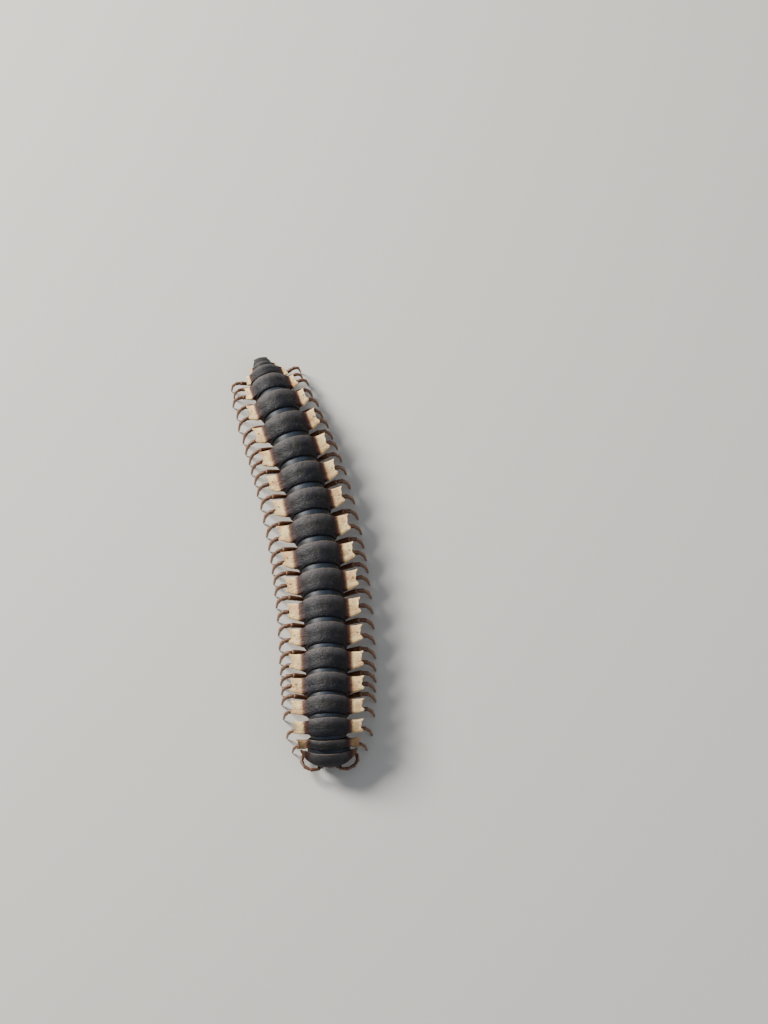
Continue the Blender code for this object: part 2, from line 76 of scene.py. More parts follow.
# What the end rings lack of a middle ring's size: share lost, reach in rings and power of the fall,
# at the head's end and at the tail's.
LENGTH_ENDS = ((0.60, 2.95, 1.2), (0.66, 1.93, 1.3))
WIDTH_ENDS = ((0.14, 1.0, 1.2), (0.58, 2.15, 1.3))
BARREL_ENDS = ((0.13, 1.3, 1.0), (0.50, 1.5, 1.3))
LEG_ENDS = ((0.24, 1.6, 1.0), (0.34, 2.6, 1.0))


def swell(ring, ends):
    """A ring's share of a middle ring's size."""
    share = 1.0
    for distance, (lost, reach, power) in zip((ring - FIRST_RING, LAST_RING - ring), ends):
        share *= 1 - lost * math.exp(-((max(distance, 0) / reach) ** power))
    return share


RIMS = {COLLUM: 0.0}
for ring in range(FIRST_RING, LAST_RING + 1):
    RIMS[ring] = RIMS[ring - 1] + RING_LENGTH * swell(ring, LENGTH_ENDS)
print("rear margins along the line:", [round(place, 1) for place in RIMS.values()])

# %% The line itself
AXIS_HEIGHT = 6.5
BEND, BEND_SPAN, BEND_POWER = math.radians(26.5), 67.3, 1.35
TURN_BACK_RING, TURN_BACK = 15, math.radians(0.82)
HEAD_SLOPE, HEAD_SLOPE_REACH, HEAD_SLOPE_POWER = math.radians(37), 4.4, 2.5
TAIL_SLOPE, TAIL_SLOPE_REACH, TAIL_SLOPE_POWER = math.radians(20.5), 10.8, 3.0
TELSON_DROOP, TELSON_DROOP_REACH = math.radians(32), 1.2
LINE_STEP, LINE_START, LINE_OVERRUN = 0.1, -6.0, 6.0
NECK_RADIUS = 2.1


def direction(along):
    """Where the body line points at this distance, towards the tail."""
    turned = BEND * max((along - RIMS[FIRST_DOUBLE_RING]) / BEND_SPAN, 0.0) ** BEND_POWER
    turned -= TURN_BACK * max(along - RIMS[TURN_BACK_RING], 0.0)
    rise = HEAD_SLOPE * math.exp(-((max(along, 0.0) / HEAD_SLOPE_REACH) ** HEAD_SLOPE_POWER))
    ahead = max(RIMS[LAST_RING] - along, 0.0)
    rise -= TAIL_SLOPE * math.exp(-((ahead / TAIL_SLOPE_REACH) ** TAIL_SLOPE_POWER))
    rise -= TELSON_DROOP * min(max((along - RIMS[LAST_RING] - GAP) / TELSON_DROOP_REACH, 0.0), 1.0)
    level = math.cos(rise)
    return Vector((-math.sin(turned) * level, math.cos(turned) * level, math.sin(rise)))


station_count = round((RIMS[LAST_RING] + LINE_OVERRUN - LINE_START) / LINE_STEP) + 1
stations = np.arange(station_count) * LINE_STEP + LINE_START
steps = np.array([direction(along + LINE_STEP / 2) * LINE_STEP for along in stations[:-1]])
axis = np.vstack([np.zeros(3), np.cumsum(steps, axis=0)])
axis[:, 2] += AXIS_HEIGHT - axis[:, 2].max()
axis[:, :2] -= axis[round(-LINE_START / LINE_STEP), :2]
collum_low, collum_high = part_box("collum")
axis[:, 0] += (collum_low.x + collum_high.x) / 2 / MM
axis[:, 1] += collum_high.y / MM - NECK_RADIUS * math.sin(HEAD_SLOPE)
backs = np.array([direction(along) for along in stations])
rights = np.column_stack([backs[:, 1], -backs[:, 0], np.zeros(len(backs))])
rights /= np.linalg.norm(rights, axis=1)[:, None]
ups = np.cross(rights, backs)


def on_line(values, along):
    """The values of the stations, read between them at these distances."""
    return np.column_stack([np.interp(along, stations, values[:, column]) for column in range(3)])


def line_frame(along):
    """The axis point at one distance, with right, back and up there."""
    return [Vector(on_line(values, [along])[0]) for values in (axis, rights, backs, ups)]


neck = line_frame(0.0)[0]
print("the line starts at the collum's rear margin, at", [round(value, 3) for value in neck])

# %% [markdown]
# ## Helpers for modelling by hand
#
# An edit-mode tool acts on everything that is selected, so each primitive is added with nothing else
# selected, and faces or points are then picked by their place.

# %% Pick up, pick out, put down


def start(name, add, **size):
    """Adds a primitive on its own and opens it for editing."""
    bpy.ops.object.select_all(action="DESELECT")
    add(**size)
    piece = bpy.context.object
    piece.name = piece.data.name = name
    bpy.ops.object.mode_set(mode="EDIT")
    return piece


def pick(piece, mode, choose):
    """Selects just the points or faces whose middle suits, and counts them."""
    bpy.ops.mesh.select_mode(type=mode)
    bpy.ops.mesh.select_all(action="DESELECT")
    shell = bmesh.from_edit_mesh(piece.data)
    if mode == "VERT":
        chosen = [point for point in shell.verts if choose(point.co)]
    else:
        chosen = [face for face in shell.faces if choose(face.calc_center_median())]
    for part in chosen:
        part.select_set(True)
    shell.select_flush_mode()
    bmesh.update_edit_mesh(piece.data)
    return len(chosen)


def done(piece):
    """Closes editing, with the faces pointing out."""
    bpy.ops.mesh.select_all(action="SELECT")
    bpy.ops.mesh.normals_make_consistent(inside=False)
    bpy.ops.object.mode_set(mode="OBJECT")
    return piece


def resize_all(size):
    """Resizes all that is open for editing, about the origin."""
    bpy.ops.mesh.select_all(action="SELECT")
    bpy.ops.transform.resize(value=size, center_override=(0, 0, 0))


def select_only(piece):
    """Selects one piece, which the next tool then acts on."""
    bpy.ops.object.select_all(action="DESELECT")
    bpy.context.view_layer.objects.active = piece
    piece.select_set(True)


def modify(piece, kind, **settings):
    """Adds a modifier, sets it and applies it."""
    select_only(piece)
    modifier = piece.modifiers.new(kind.title(), kind)
    for name, value in settings.items():
        setattr(modifier, name, value)
    bpy.ops.object.modifier_apply(modifier=modifier.name)
    return piece


def copy_of(piece, name):
    """A copy with its own mesh."""
    twin = piece.copy()
    twin.data = piece.data.copy()
    twin.name = twin.data.name = name
    bpy.context.scene.collection.objects.link(twin)
    return twin


def ramp(values, start, end):
    """Rises from 0 at the start to 1 at the end, and stays level outside them."""
    return np.clip((values - start) / (end - start), 0, 1)


def points_of(piece):
    """The places of a mesh's points, as rows of x, y and z."""
    places = np.empty(len(piece.data.vertices) * 3)
    piece.data.vertices.foreach_get("co", places)
    return places.reshape(-1, 3)


def set_points(piece, places):
    piece.data.vertices.foreach_set("co", places.ravel())
    piece.data.update()
    return piece


def join(name, pieces):
    """Several objects made one."""
    select_only(pieces[0])
    for piece in pieces:
        piece.select_set(True)
    bpy.ops.object.join()
    pieces[0].name = pieces[0].data.name = name
    return pieces[0]


# %% Turned forms, balls, blocks and rings
def turned(name, profile, sides, flatness=1.0):
    """A round form: a circle, extruded and resized from each (radius, place along Y) to the next, and
    closed at both ends."""
    radius, place = profile[0]
    quarter = (math.pi / 2, 0, 0)
    add = bpy.ops.mesh.primitive_circle_add
    piece = start(name, add, vertices=sides, radius=radius, location=(0, place, 0), rotation=quarter)
    bpy.ops.object.mode_set(mode="OBJECT")
    bpy.ops.object.transform_apply(location=True, rotation=True, scale=True)
    bpy.ops.object.mode_set(mode="EDIT")
    bpy.ops.mesh.select_all(action="SELECT")
    bpy.ops.mesh.edge_face_add()
    for next_radius, next_place in profile[1:]:
        bpy.ops.mesh.extrude_region_move(TRANSFORM_OT_translate={"value": (0, next_place - place, 0)})
        grow = next_radius / radius
        bpy.ops.transform.resize(value=(grow, 1, grow), center_override=(0, next_place, 0))
        radius, place = next_radius, next_place
    resize_all((1, 1, flatness))
    return done(piece)


def ellipsoid(name, place, radii, sides=32, rings=20):
    """A sphere resized in edit mode."""
    made = start(name, bpy.ops.mesh.primitive_uv_sphere_add, radius=1, segments=sides, ring_count=rings)
    resize_all(radii)
    bpy.ops.transform.translate(value=place)
    return done(made)


def lobe(name, corner, far_corner, bevel):
    """A block with round edges between two corners."""
    made = start(name, bpy.ops.mesh.primitive_cube_add, size=1)
    low, high = (Vector(map(choose, corner, far_corner)) for choose in (min, max))
    resize_all(high - low)
    bpy.ops.transform.translate(value=(low + high) / 2)
    bpy.ops.mesh.bevel(offset=bevel, segments=3, affect="EDGES")
    return done(made)


def torus(name, radius, tube_radius, sides, tube_sides):
    made = start(
        name, bpy.ops.mesh.primitive_torus_add, major_radius=radius, minor_radius=tube_radius,
        major_segments=sides, minor_segments=tube_sides,
    )
    return done(made)


# %% [markdown]
# ## Camera, floor and light
#
# The camera stands where the photo was taken from: high over the animal's front, looking down at
# about 65 degrees, with a slight roll, through a narrow lens. A pale floor and soft light from the
# upper left show the form without hard shadows.

# %% Camera
EYE = Vector((neck.x + 18.39, neck.y - 203.63, 537.83)) * MM
LOOK_AZIMUTH, LOOK_DOWN, ROLL = math.radians(-1.75), math.radians(64.98), math.radians(-3.57)
FIELD_OF_VIEW = math.radians(17.81)
SENSOR = 36.0

forward = Vector((math.sin(LOOK_AZIMUTH), math.cos(LOOK_AZIMUTH), -math.tan(LOOK_DOWN))).normalized()
level = Vector((math.cos(LOOK_AZIMUTH), -math.sin(LOOK_AZIMUTH), 0.0))
across = level * math.cos(ROLL) + level.cross(forward) * math.sin(ROLL)
upright = across.cross(forward)
lens = bpy.data.cameras.new("camera")
lens.lens = SENSOR / 2 / math.tan(FIELD_OF_VIEW / 2)
lens.sensor_width = SENSOR
lens.clip_start, lens.clip_end = 0.001, 10.0
camera = bpy.data.objects.new("camera", lens)
bpy.context.scene.collection.objects.link(camera)
camera.matrix_world = Matrix.Translation(EYE) @ Matrix((across, upright, -forward)).transposed().to_4x4()
bpy.context.scene.camera = camera
print("lens", round(lens.lens, 1), "mm")

# %% Floor
FLOOR_SIZE = 6.0


def material(name, roughness):
    """A new material and its shader."""
    made = bpy.data.materials.new(name)
    made.use_nodes = True
    shader = made.node_tree.nodes["Principled BSDF"]
    shader.inputs["Roughness"].default_value = roughness
    return made, shader


bpy.ops.object.select_all(action="DESELECT")
bpy.ops.mesh.primitive_plane_add(size=FLOOR_SIZE)
floor = bpy.context.object
floor.name = "floor"
pale, pale_shader = material("pale_floor", 0.9)
pale_shader.inputs["Base Color"].default_value = (0.62, 0.61, 0.59, 1)
floor.data.materials.append(pale)

# %% Light
bpy.context.scene.world = bpy.data.worlds.new("studio")
bpy.context.scene.world.use_nodes = True
sky = bpy.context.scene.world.node_tree.nodes["Background"]
sky.inputs["Color"].default_value = (0.93, 0.96, 1.0, 1)
sky.inputs["Strength"].default_value = 0.29


def soft_light(name, place, size, power, colour):
    """A square light that looks at the animal."""
    lamp = bpy.data.lights.new(name, "AREA")
    lamp.size, lamp.energy, lamp.color = size, power, colour
    light = bpy.data.objects.new(name, lamp)
    light.location = place
    light.rotation_euler = (-Vector(place)).to_track_quat("-Z", "Y").to_euler()
    bpy.context.scene.collection.objects.link(light)
    return light


soft_light("window", (-0.42, 0.30, 0.36), 0.24, 9.4, (1.0, 0.965, 0.89))
soft_light("fill", (0.40, -0.25, 0.45), 0.50, 0.7, (0.86, 0.93, 1.0))

# %% [markdown]
# ## The cuticle's colours
#
# One ring carries three finishes that flow into each other: a charcoal, leathery dome, a maroon
# fade, and a cream to tan keel. Three materials side by side would meet in hard lines. So one
# material mixes them by masks that are stored on the mesh as attributes, and breaks up the borders
# with noise on Object coordinates, which differ from ring to ring.

# %% Node helpers


def add_node(tree, kind, **settings):
    node = tree.nodes.new(kind)
    for name, value in settings.items():
        setattr(node, name, value)
    return node


def mask(tree, name, share=1.0):
    """The value of a mesh attribute, or a share of it."""
    value = add_node(tree, "ShaderNodeAttribute", attribute_name=name).outputs["Fac"]
    return calc(tree, "MULTIPLY", value, share) if share < 1 else value


def noise(tree, size_mm, detail=3.0, stretch=(1, 1, 1), roughness=0.55):
    """Noise on Object coordinates, with features of this size."""
    place = add_node(tree, "ShaderNodeTexCoord").outputs["Object"]
    mapping = add_node(tree, "ShaderNodeMapping")
    mapping.inputs["Scale"].default_value = [1 / (size_mm * MM * along) for along in stretch]
    tree.links.new(place, mapping.inputs["Vector"])
    made = add_node(tree, "ShaderNodeTexNoise")
    made.inputs["Scale"].default_value = 1.0
    made.inputs["Detail"].default_value = detail
    made.inputs["Roughness"].default_value = roughness
    tree.links.new(mapping.outputs["Vector"], made.inputs["Vector"])
    return made.outputs["Fac"]


def cells(tree, size_mm, feature="F1"):
    """Cell noise on Object coordinates: 0 in the middle of each cell."""
    place = add_node(tree, "ShaderNodeTexCoord").outputs["Object"]
    made = add_node(tree, "ShaderNodeTexVoronoi", feature=feature)
    made.inputs["Scale"].default_value = 1 / (size_mm * MM)
    tree.links.new(place, made.inputs["Vector"])
    return made.outputs["Distance"]


def remap(tree, value, low, high, new_low=0.0, new_high=1.0):
    """Stretches a value from one range to another, smoothly."""
    node = add_node(tree, "ShaderNodeMapRange", interpolation_type="SMOOTHSTEP")
    for name, number in (("From Min", low), ("From Max", high), ("To Min", new_low), ("To Max", new_high)):
        node.inputs[name].default_value = number
    tree.links.new(value, node.inputs["Value"])
    return node.outputs["Result"]


def calc(tree, operation, first, second):
    node = add_node(tree, "ShaderNodeMath", operation=operation)
    for socket, value in zip(node.inputs, (first, second)):
        if isinstance(value, (int, float)):
            socket.default_value = value
        else:
            tree.links.new(value, socket)
    return node.outputs["Value"]


def blend(tree, share, first, second):
    """Mixes two colours, each a socket or a plain colour."""
    node = add_node(tree, "ShaderNodeMix", data_type="RGBA")
    if isinstance(share, (int, float)):
        node.inputs[0].default_value = share
    else:
        tree.links.new(share, node.inputs[0])
    for socket, value in zip((node.inputs[6], node.inputs[7]), (first, second)):
        if isinstance(value, tuple):
            socket.default_value = (*value, 1)
        else:
            tree.links.new(value, socket)
    return node.outputs[2]


def tinted(tree, colour, *layers):
    """Lays tints over a colour. Each comes in where its value goes from low to high, up to a share."""
    for value, low, high, share, tint in layers:
        colour = blend(tree, remap(tree, value, low, high, 0, share), colour, tint)
    return colour


def bump(tree, shader, layers):
    """Stacks bumps: each layer is a height value and its depth in millimetres."""
    below = None
    for height, depth in layers:
        node = add_node(tree, "ShaderNodeBump")
        node.inputs["Distance"].default_value = depth * MM
        tree.links.new(height, node.inputs["Height"])
        if below:
            tree.links.new(below, node.inputs["Normal"])
        below = node.outputs["Normal"]
    tree.links.new(below, shader.inputs["Normal"])


# %% Ring cuticle
# The dome, from its front to its rear rim, with painted shade on its front and painted light on its rear.
FRONT_PAINTED_SHADE, CHARCOAL, OLIVE = (0.006, 0.0065, 0.0115), (0.0088, 0.0092, 0.0145), (0.025, 0.0235, 0.0205)
SLATE, REAR_PAINTED_LIGHT, RIM_BROWN = (0.0095, 0.0115, 0.022), (0.096, 0.088, 0.094), (0.130, 0.098, 0.070)
SPECK, FLECK = (0.14, 0.135, 0.13), (0.21, 0.195, 0.18)
# The fade and the keel, and the belly.
MAROON, BROWN, HEAD_KEEL = (0.030, 0.014, 0.014), (0.13, 0.058, 0.038), (0.125, 0.068, 0.038)
TAN, CREAM, SPOT = (0.64, 0.385, 0.190), (0.96, 0.72, 0.360), (0.42, 0.21, 0.09)
BELLY = (0.085, 0.050, 0.034)

ring_skin, shader = material("ring_cuticle", 0.5)
tree = ring_skin.node_tree
broad, fine, streaks = noise(tree, 1.6), noise(tree, 0.22), noise(tree, 0.5, stretch=(3.0, 0.6, 1.0))
grains = cells(tree, 0.30)
rear, flecks = mask(tree, "rear"), cells(tree, 0.85)
# The rear mask paints each dome lighter towards its rear rim as painted light, and darker and bluer at its
# front as painted shade.
dome = tinted(
    tree, CHARCOAL, (broad, 0.35, 0.66, 1, OLIVE), (streaks, 0.48, 0.70, 0.6, SLATE),
    (rear, 0.50, 0.95, 0.75, REAR_PAINTED_LIGHT), (rear, 0.50, 0.05, 0.75, FRONT_PAINTED_SHADE),
    (fine, 0.60, 0.78, 0.40, SPECK), (flecks, 0.11, 0.04, 0.55, FLECK),
)
dome = blend(tree, mask(tree, "margin", 0.6), dome, RIM_BROWN)
keel = tinted(tree, TAN, (broad, 0.30, 0.70, 1, CREAM), (fine, 0.58, 0.80, 0.40, SPOT))
keel = blend(tree, mask(tree, "front"), keel, HEAD_KEEL)
frayed = calc(tree, "MULTIPLY", calc(tree, "SUBTRACT", fine, 0.5), 0.20)
spread = calc(tree, "ADD", mask(tree, "keel"), frayed)
fades = (spread, 0.0, 0.22, 1, MAROON), (spread, 0.23, 0.40, 1, BROWN), (spread, 0.35, 0.52, 1, keel)
colour = tinted(tree, dome, *fades)
colour = blend(tree, mask(tree, "belly"), colour, BELLY)
tree.links.new(colour, shader.inputs["Base Color"])
tree.links.new(remap(tree, fine, 0.3, 0.8, 0.50, 0.70), shader.inputs["Roughness"])
shader.inputs["Specular IOR Level"].default_value = 0.24
bump(tree, shader, [(remap(tree, grains, 0.0, 0.55, 1, 0), 0.035), (fine, 0.05), (streaks, 0.05)])

# %% Band, leg, feeler and head cuticle
BAND_TONES = ((0.010, 0.0165, 0.028), (0.019, 0.029, 0.047))
# The flank tone is painted shade: it darkens the band's sides and underside, where the domes overhang it.
BAND_DUST, BAND_PAINTED_SHADE = (0.07, 0.085, 0.09), (0.008, 0.009, 0.012)
LEG_TONES, LEG_FOOT = ((0.085, 0.034, 0.019), (0.15, 0.066, 0.034)), (0.30, 0.15, 0.07)
LEG_JOINT, CLAW_HORN = (0.26, 0.15, 0.085), (0.045, 0.018, 0.012)
HEAD_TONES, LIP_BROWN = ((0.030, 0.018, 0.014), (0.060, 0.034, 0.024)), (0.24, 0.12, 0.065)


def clouded(name, sizes, tones, roughness, depths):
    """A cuticle of two tones that meet in clouds, with a dusty grain in its gloss and its height. The sizes
    and depths are the dust's and the clouds'."""
    skin, shader = material(name, roughness[0])
    tree = skin.node_tree
    dust, cloud = noise(tree, sizes[0]), noise(tree, sizes[1])
    tree.links.new(remap(tree, dust, 0.3, 0.8, *roughness), shader.inputs["Roughness"])
    bump(tree, shader, list(zip((dust, cloud), depths)))
    return skin, shader, tree, dust, tinted(tree, tones[0], (cloud, 0.35, 0.65, 1, tones[1]))


made = clouded("band_cuticle", (0.12, 1.2), BAND_TONES, (0.44, 0.60), (0.012,))
band_skin, shader, tree, dust, colour = made
# This mask paints shade on the band's sides and underside.
flank_shade = mask(tree, "flank_shade")
colour = tinted(tree, colour, (dust, 0.60, 0.80, 0.3, BAND_DUST), (flank_shade, 0, 1, 1, BAND_PAINTED_SHADE))
tree.links.new(colour, shader.inputs["Base Color"])
shader.inputs["Specular IOR Level"].default_value = 0.30

made = clouded("leg_cuticle", (0.10, 0.7), LEG_TONES, (0.30, 0.50), (0.010, 0.02))
leg_skin, shader, tree, dust, colour = made
colour = tinted(tree, colour, (mask(tree, "down"), 0.55, 1.0, 0.8, LEG_FOOT))
colour = blend(tree, mask(tree, "joint", 0.45), colour, LEG_JOINT)
colour = blend(tree, mask(tree, "horn"), colour, CLAW_HORN)
tree.links.new(colour, shader.inputs["Base Color"])
shader.inputs["Subsurface Weight"].default_value = 0.12
shader.inputs["Subsurface Radius"].default_value = (0.0006, 0.0003, 0.00015)

made = clouded("head_cuticle", (0.10, 0.9), HEAD_TONES, (0.26, 0.44), (0.012, 0.02))
head_skin, shader, tree, dust, colour = made
colour = blend(tree, mask(tree, "pale", 0.9), colour, LIP_BROWN)
tree.links.new(colour, shader.inputs["Base Color"])

# %% Finishing a piece
SMOOTH_ANGLE = math.radians(50)


def finish_piece(piece, skin, slot, *nodes):
    """Metres and smooth shading for a piece, its material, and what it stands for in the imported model."""
    piece.data.transform(Matrix.Scale(MM, 4))
    select_only(piece)
    bpy.ops.object.shade_smooth_by_angle(angle=SMOOTH_ANGLE)
    piece.data.materials.clear()
    piece.data.materials.append(skin)
    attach(piece, "root")
    if nodes:
        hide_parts(*nodes)
    return piece


def store(piece, name, values):
    """A number for each point, or one for all, which a material can read."""
    found = piece.data.attributes.get(name) or piece.data.attributes.new(name, "FLOAT", "POINT")
    found.data.foreach_set("value", np.full(len(piece.data.vertices), values, np.float32))


# %% [markdown]
# ## One ring, modelled once
#
# Behind its smooth front band, each ring is a raised dome with a flat keel on either side. It could
# be a cylinder and two plates joined by a Boolean, but the real keel flows out of the dome with a
# soft hollow. So the dome is a tube of a few loops, the keels are extruded from the faces on its
# sides, and a Subdivision Surface rounds the whole cage.
#
# Y is 0 at the ring's rear margin and falls towards the head.

# %% The dome's cage
DOME_SIDES = 24
DOME_LOOPS = (
    (0.80, -4.12), (0.85, -4.09), (0.90, -3.95), (0.93, -3.68), (0.948, -3.32), (0.958, -2.95),
    (0.950, -2.62), (0.965, -2.25), (0.982, -1.75), (0.995, -1.25), (1.0, -0.80), (1.0, -0.42),
    (0.995, -0.16), (0.985, -0.03), (0.960, 0.0), (0.930, -0.03), (0.90, -0.55), (0.88, -0.75),
)


def barrel_form(name, radius, start_at, loops, sides):
    """A turned form of the barrel's flatness, from loops of (share of the radius, place)."""
    profile = [(share * radius, start_at + place) for share, place in loops]
    return turned(name, profile, sides, BARREL_FLATNESS)


dome = barrel_form("dome", BARREL_RADIUS, 0.0, DOME_LOOPS, DOME_SIDES)
print("dome cage:", len(dome.data.polygons), "faces")

# %% [markdown]
# ### Drawing out the keels
#
# The faces that become a keel lie on the dome's side, between the axis and a third of the way up. They
# are extruded four times. After each pull the new points are set on the keel's own plan: a straight
# rear edge, a slanting front edge, and a hollow side edge with two corner teeth and a small tooth
# between them. The last pull is lifted a little, which leaves the raised rim that the real keel has.

# %% Keels
KEEL_TOP, KEEL_FALL = 1.45, 0.30
KEEL_THICKNESS, KEEL_EDGE_THICKNESS = 1.05, 0.50
KEEL_FRONT, KEEL_REAR = -3.55, -0.12
HALF_SPAN = KEEL_SPAN / 2

# Each pull: how far out, where its front and rear points lie, and how far its top is raised.
KEEL_PULLS = ((4.40, -3.75, -0.13, 0.03), (5.05, -3.62, -0.12, -0.02), (5.75, -3.20, -0.08, -0.04))
# The side edge from front to rear: (how far out, where).
KEEL_EDGE = (
    (6.30, -2.98), (6.56, -2.60), (6.14, -2.16), (6.02, -1.74),
    (6.24, -1.34), (6.02, -0.94), (6.20, -0.46), (6.60, 0.02),
)
KEEL_EDGE_LIFT = 0.07
# Where the faces lie that are drawn out: how far out on the dome, and how high.
ROOT_OUT, ROOT_LOW = 0.80 * BARREL_RADIUS, -0.02
ROOT_HIGH = BARREL_RADIUS * BARREL_FLATNESS * math.sin(math.radians(30)) + 0.02


def pull_out(spot):
    """Extrudes the selected faces and sets the new points on their plan: spot gives where a point at this
    share of the way from front to rear goes, as (out, along, lift)."""
    bpy.ops.mesh.extrude_region_move(TRANSFORM_OT_translate={"value": (0, 0, 0)})
    shell = bmesh.from_edit_mesh(dome.data)
    chosen = [point for point in shell.verts if point.select]
    rows = sorted({round(point.co.y, 3) for point in chosen})
    levels = sorted({round(point.co.z, 3) for point in chosen})
    print("pull of", len(chosen), "points,", len(rows), "rows,", len(levels), "levels")
    for point in chosen:
        side = 1 if point.co.x > 0 else -1
        out, along, lift = spot(rows.index(round(point.co.y, 3)) / (len(rows) - 1))
        share = (out - BARREL_RADIUS) / (HALF_SPAN - BARREL_RADIUS)
        top = KEEL_TOP - KEEL_FALL * share + lift
        thickness = KEEL_THICKNESS * (1 - share) + KEEL_EDGE_THICKNESS * share + lift
        height = levels.index(round(point.co.z, 3)) / (len(levels) - 1)
        point.co = (side * out, along, top - thickness * (1 - height))
    bmesh.update_edit_mesh(dome.data)


select_only(dome)
bpy.ops.object.mode_set(mode="EDIT")


def at_keel_root(middle):
    beside = abs(middle.x) > ROOT_OUT
    return beside and ROOT_LOW < middle.z < ROOT_HIGH and KEEL_FRONT < middle.y < KEEL_REAR


print("root faces:", pick(dome, "FACE", at_keel_root))
for out, front, rear, lift in KEEL_PULLS:
    pull_out(lambda share: (out, front + share * (rear - front), lift))
pull_out(lambda share: (*KEEL_EDGE[round(share * (len(KEEL_EDGE) - 1))], KEEL_EDGE_LIFT))
done(dome)

# %% [markdown]
# ### Creases, then roundness
#
# Subdivision pulls every corner in, so the keel's side edge is creased first, and its teeth stay
# sharp. Two levels are enough for the shape; the third carries the grain.

# %% Crease and subdivide
EDGE_CREASE, CORNER_CREASE = 0.75, 0.45
shell = bmesh.new()
shell.from_mesh(dome.data)
crease = shell.edges.layers.float.new("crease_edge")
point_crease = shell.verts.layers.float.new("crease_vert")
edge_places = {(round(out, 2), round(along, 2)) for out, along in KEEL_EDGE}
for point in shell.verts:
    if (round(abs(point.co.x), 2), round(point.co.y, 2)) in edge_places:
        point[point_crease] = CORNER_CREASE
for edge in shell.edges:
    if all(point[point_crease] for point in edge.verts):
        edge[crease] = EDGE_CREASE
shell.to_mesh(dome.data)
shell.free()
modify(dome, "SUBSURF", levels=3, render_levels=3)
print("ring pattern:", len(dome.data.polygons), "faces")

# %% Masks of the pattern ring
KEEL_COLOUR_START = 3.05
places = points_of(dome)
out = np.abs(places[:, 0])
keel_mask = ramp(out, KEEL_COLOUR_START, HALF_SPAN) * ramp(places[:, 2], -0.6, -0.3)
store(dome, "keel", keel_mask)
store(dome, "margin", ramp(places[:, 1], -0.30, -0.18) * (keel_mask < 0.2))
store(dome, "belly", ramp(places[:, 2], -0.2, -1.0))
# This mask carries the painted light on each dome's rear and the painted shade on its front.
store(dome, "rear", ramp(places[:, 1], -3.9, 0))

# %% [markdown]
# ### The band in front
#
# The smooth front of each ring slides into the hollow rear of the ring before it. A turned form that
# starts inside that hollow and ends inside its own dome leaves a true shadow gap under the rim.

# %% Band
BAND_LOOPS = (
    (0.60, -5.75), (0.78, -5.72), (0.815, -5.60), (0.825, -5.20),
    (0.825, -4.75), (0.82, -4.35), (0.80, -4.08), (0.78, -3.70),
)
band = barrel_form("band", BARREL_RADIUS, 0.0, BAND_LOOPS, 48)
modify(band, "SUBSURF", levels=1, render_levels=1)
places = points_of(band)
# The flank mask rises towards the band's sides and underside, for painted shade there.
store(band, "flank_shade", ramp(np.abs(places[:, 0]), 0.9, 2.8) + (places[:, 2] < 0))
print("band pattern:", len(band.data.polygons), "faces")

# %% [markdown]
# ### Eighteen rings from one
#
# Each copy is fitted to its ring: the dome by the barrel's size, the keels by their own width and
# length, with a taper near the tail. Then it is laid along the body line, roughened, and made small.

# %% Fit and lay
KEEL_TIP_POWER = 0.60
KEEL_TAIL_CORNER, KEEL_TAIL_REACH, KEEL_TAIL_TAPER = 0.80, 2.5, 0.16
# How much of a ring's length its dome covers, behind the head and further back.
DOME_REACH, DOME_REACH_GAIN, DOME_REACH_RINGS = 0.76, 0.11, 6.0
# The part of the pattern that is stretched for this, and where the dome ends on it.
DOME_REAR, DOME_FRONT, PATTERN_FRONT = 1.0, 4.12, 4.2
# The band behind the collum is broader, and its front slides under the collum, so that no light
# falls through there.
NAPE_BREADTH, NAPE_START, NAPE_SLIDE = 1.28, 1.5, 0.9
# The first rings' keels are browner: how much, and how many rings it takes to fade.
HEAD_TINT, HEAD_TINT_REACH = 0.75, 0.5
draw = random.Random(11)


def near_tail(ring):
    """1 at the last ring, and less for each ring before it."""
    return math.exp(-(LAST_RING - ring) / KEEL_TAIL_REACH)


def fitted(places, ring):
    """The pattern's points at this ring's size, with Y from the body line's start."""
    x, y, z = places.T.copy()
    share = swell(ring, BARREL_ENDS)
    barrel_length = (RIMS[ring] - RIMS[ring - 1] - GAP) / (RING_LENGTH - GAP)
    front = DOME_REACH + DOME_REACH_GAIN * math.exp(-(((ring - FIRST_RING) / DOME_REACH_RINGS) ** 2))
    barrel, half = BARREL_RADIUS * share, HALF_SPAN * swell(ring, WIDTH_ENDS)
    side, out = np.sign(x), np.abs(x)
    beyond = np.maximum((out - BARREL_RADIUS) / (HALF_SPAN - BARREL_RADIUS), 0) * (z > -1.0)
    rearness = ramp(y, -2.75, 0)
    new_out = np.where(beyond > 0, barrel + beyond * (half - barrel), out * share)
    new_out *= 1 - KEEL_TAIL_TAPER * near_tail(ring) * rearness * beyond
    stretch = (front * RING_LENGTH - DOME_REAR) / (DOME_FRONT - DOME_REAR)
    dome_y = np.where((y < -DOME_REAR) & (y > -PATTERN_FRONT), (y + DOME_REAR) * stretch - DOME_REAR, y)
    keel_length = swell(ring, LENGTH_ENDS) ** (1 - (1 - KEEL_TIP_POWER) * np.clip(beyond, 0, 1))
    keelness = ramp(beyond, 0, 0.25)
    new_y = dome_y * barrel_length * (1 - keelness) + y * keel_length * keelness
    new_y += KEEL_TAIL_CORNER * near_tail(ring) * beyond * rearness
    new_z = z * share - np.clip(beyond, 0, 1) * KEEL_FALL * (1 - share)
    new_z = np.maximum(new_z, -barrel * BARREL_FLATNESS * STERNUM_SHARE)
    return np.column_stack([side * new_out, RIMS[ring] + new_y, new_z])


def laid(places):
    """Straight points laid along the body line."""
    x, y, z = places.T
    return on_line(axis, y) + on_line(rights, y) * x[:, None] + on_line(ups, y) * z[:, None]


grain = bpy.data.textures.new("grain", "VORONOI")
grain.noise_scale = 0.34
grain.intensity = 1.0
wrinkle = bpy.data.textures.new("wrinkle", "CLOUDS")
wrinkle.noise_scale = 0.9
wrinkle.noise_depth = 2


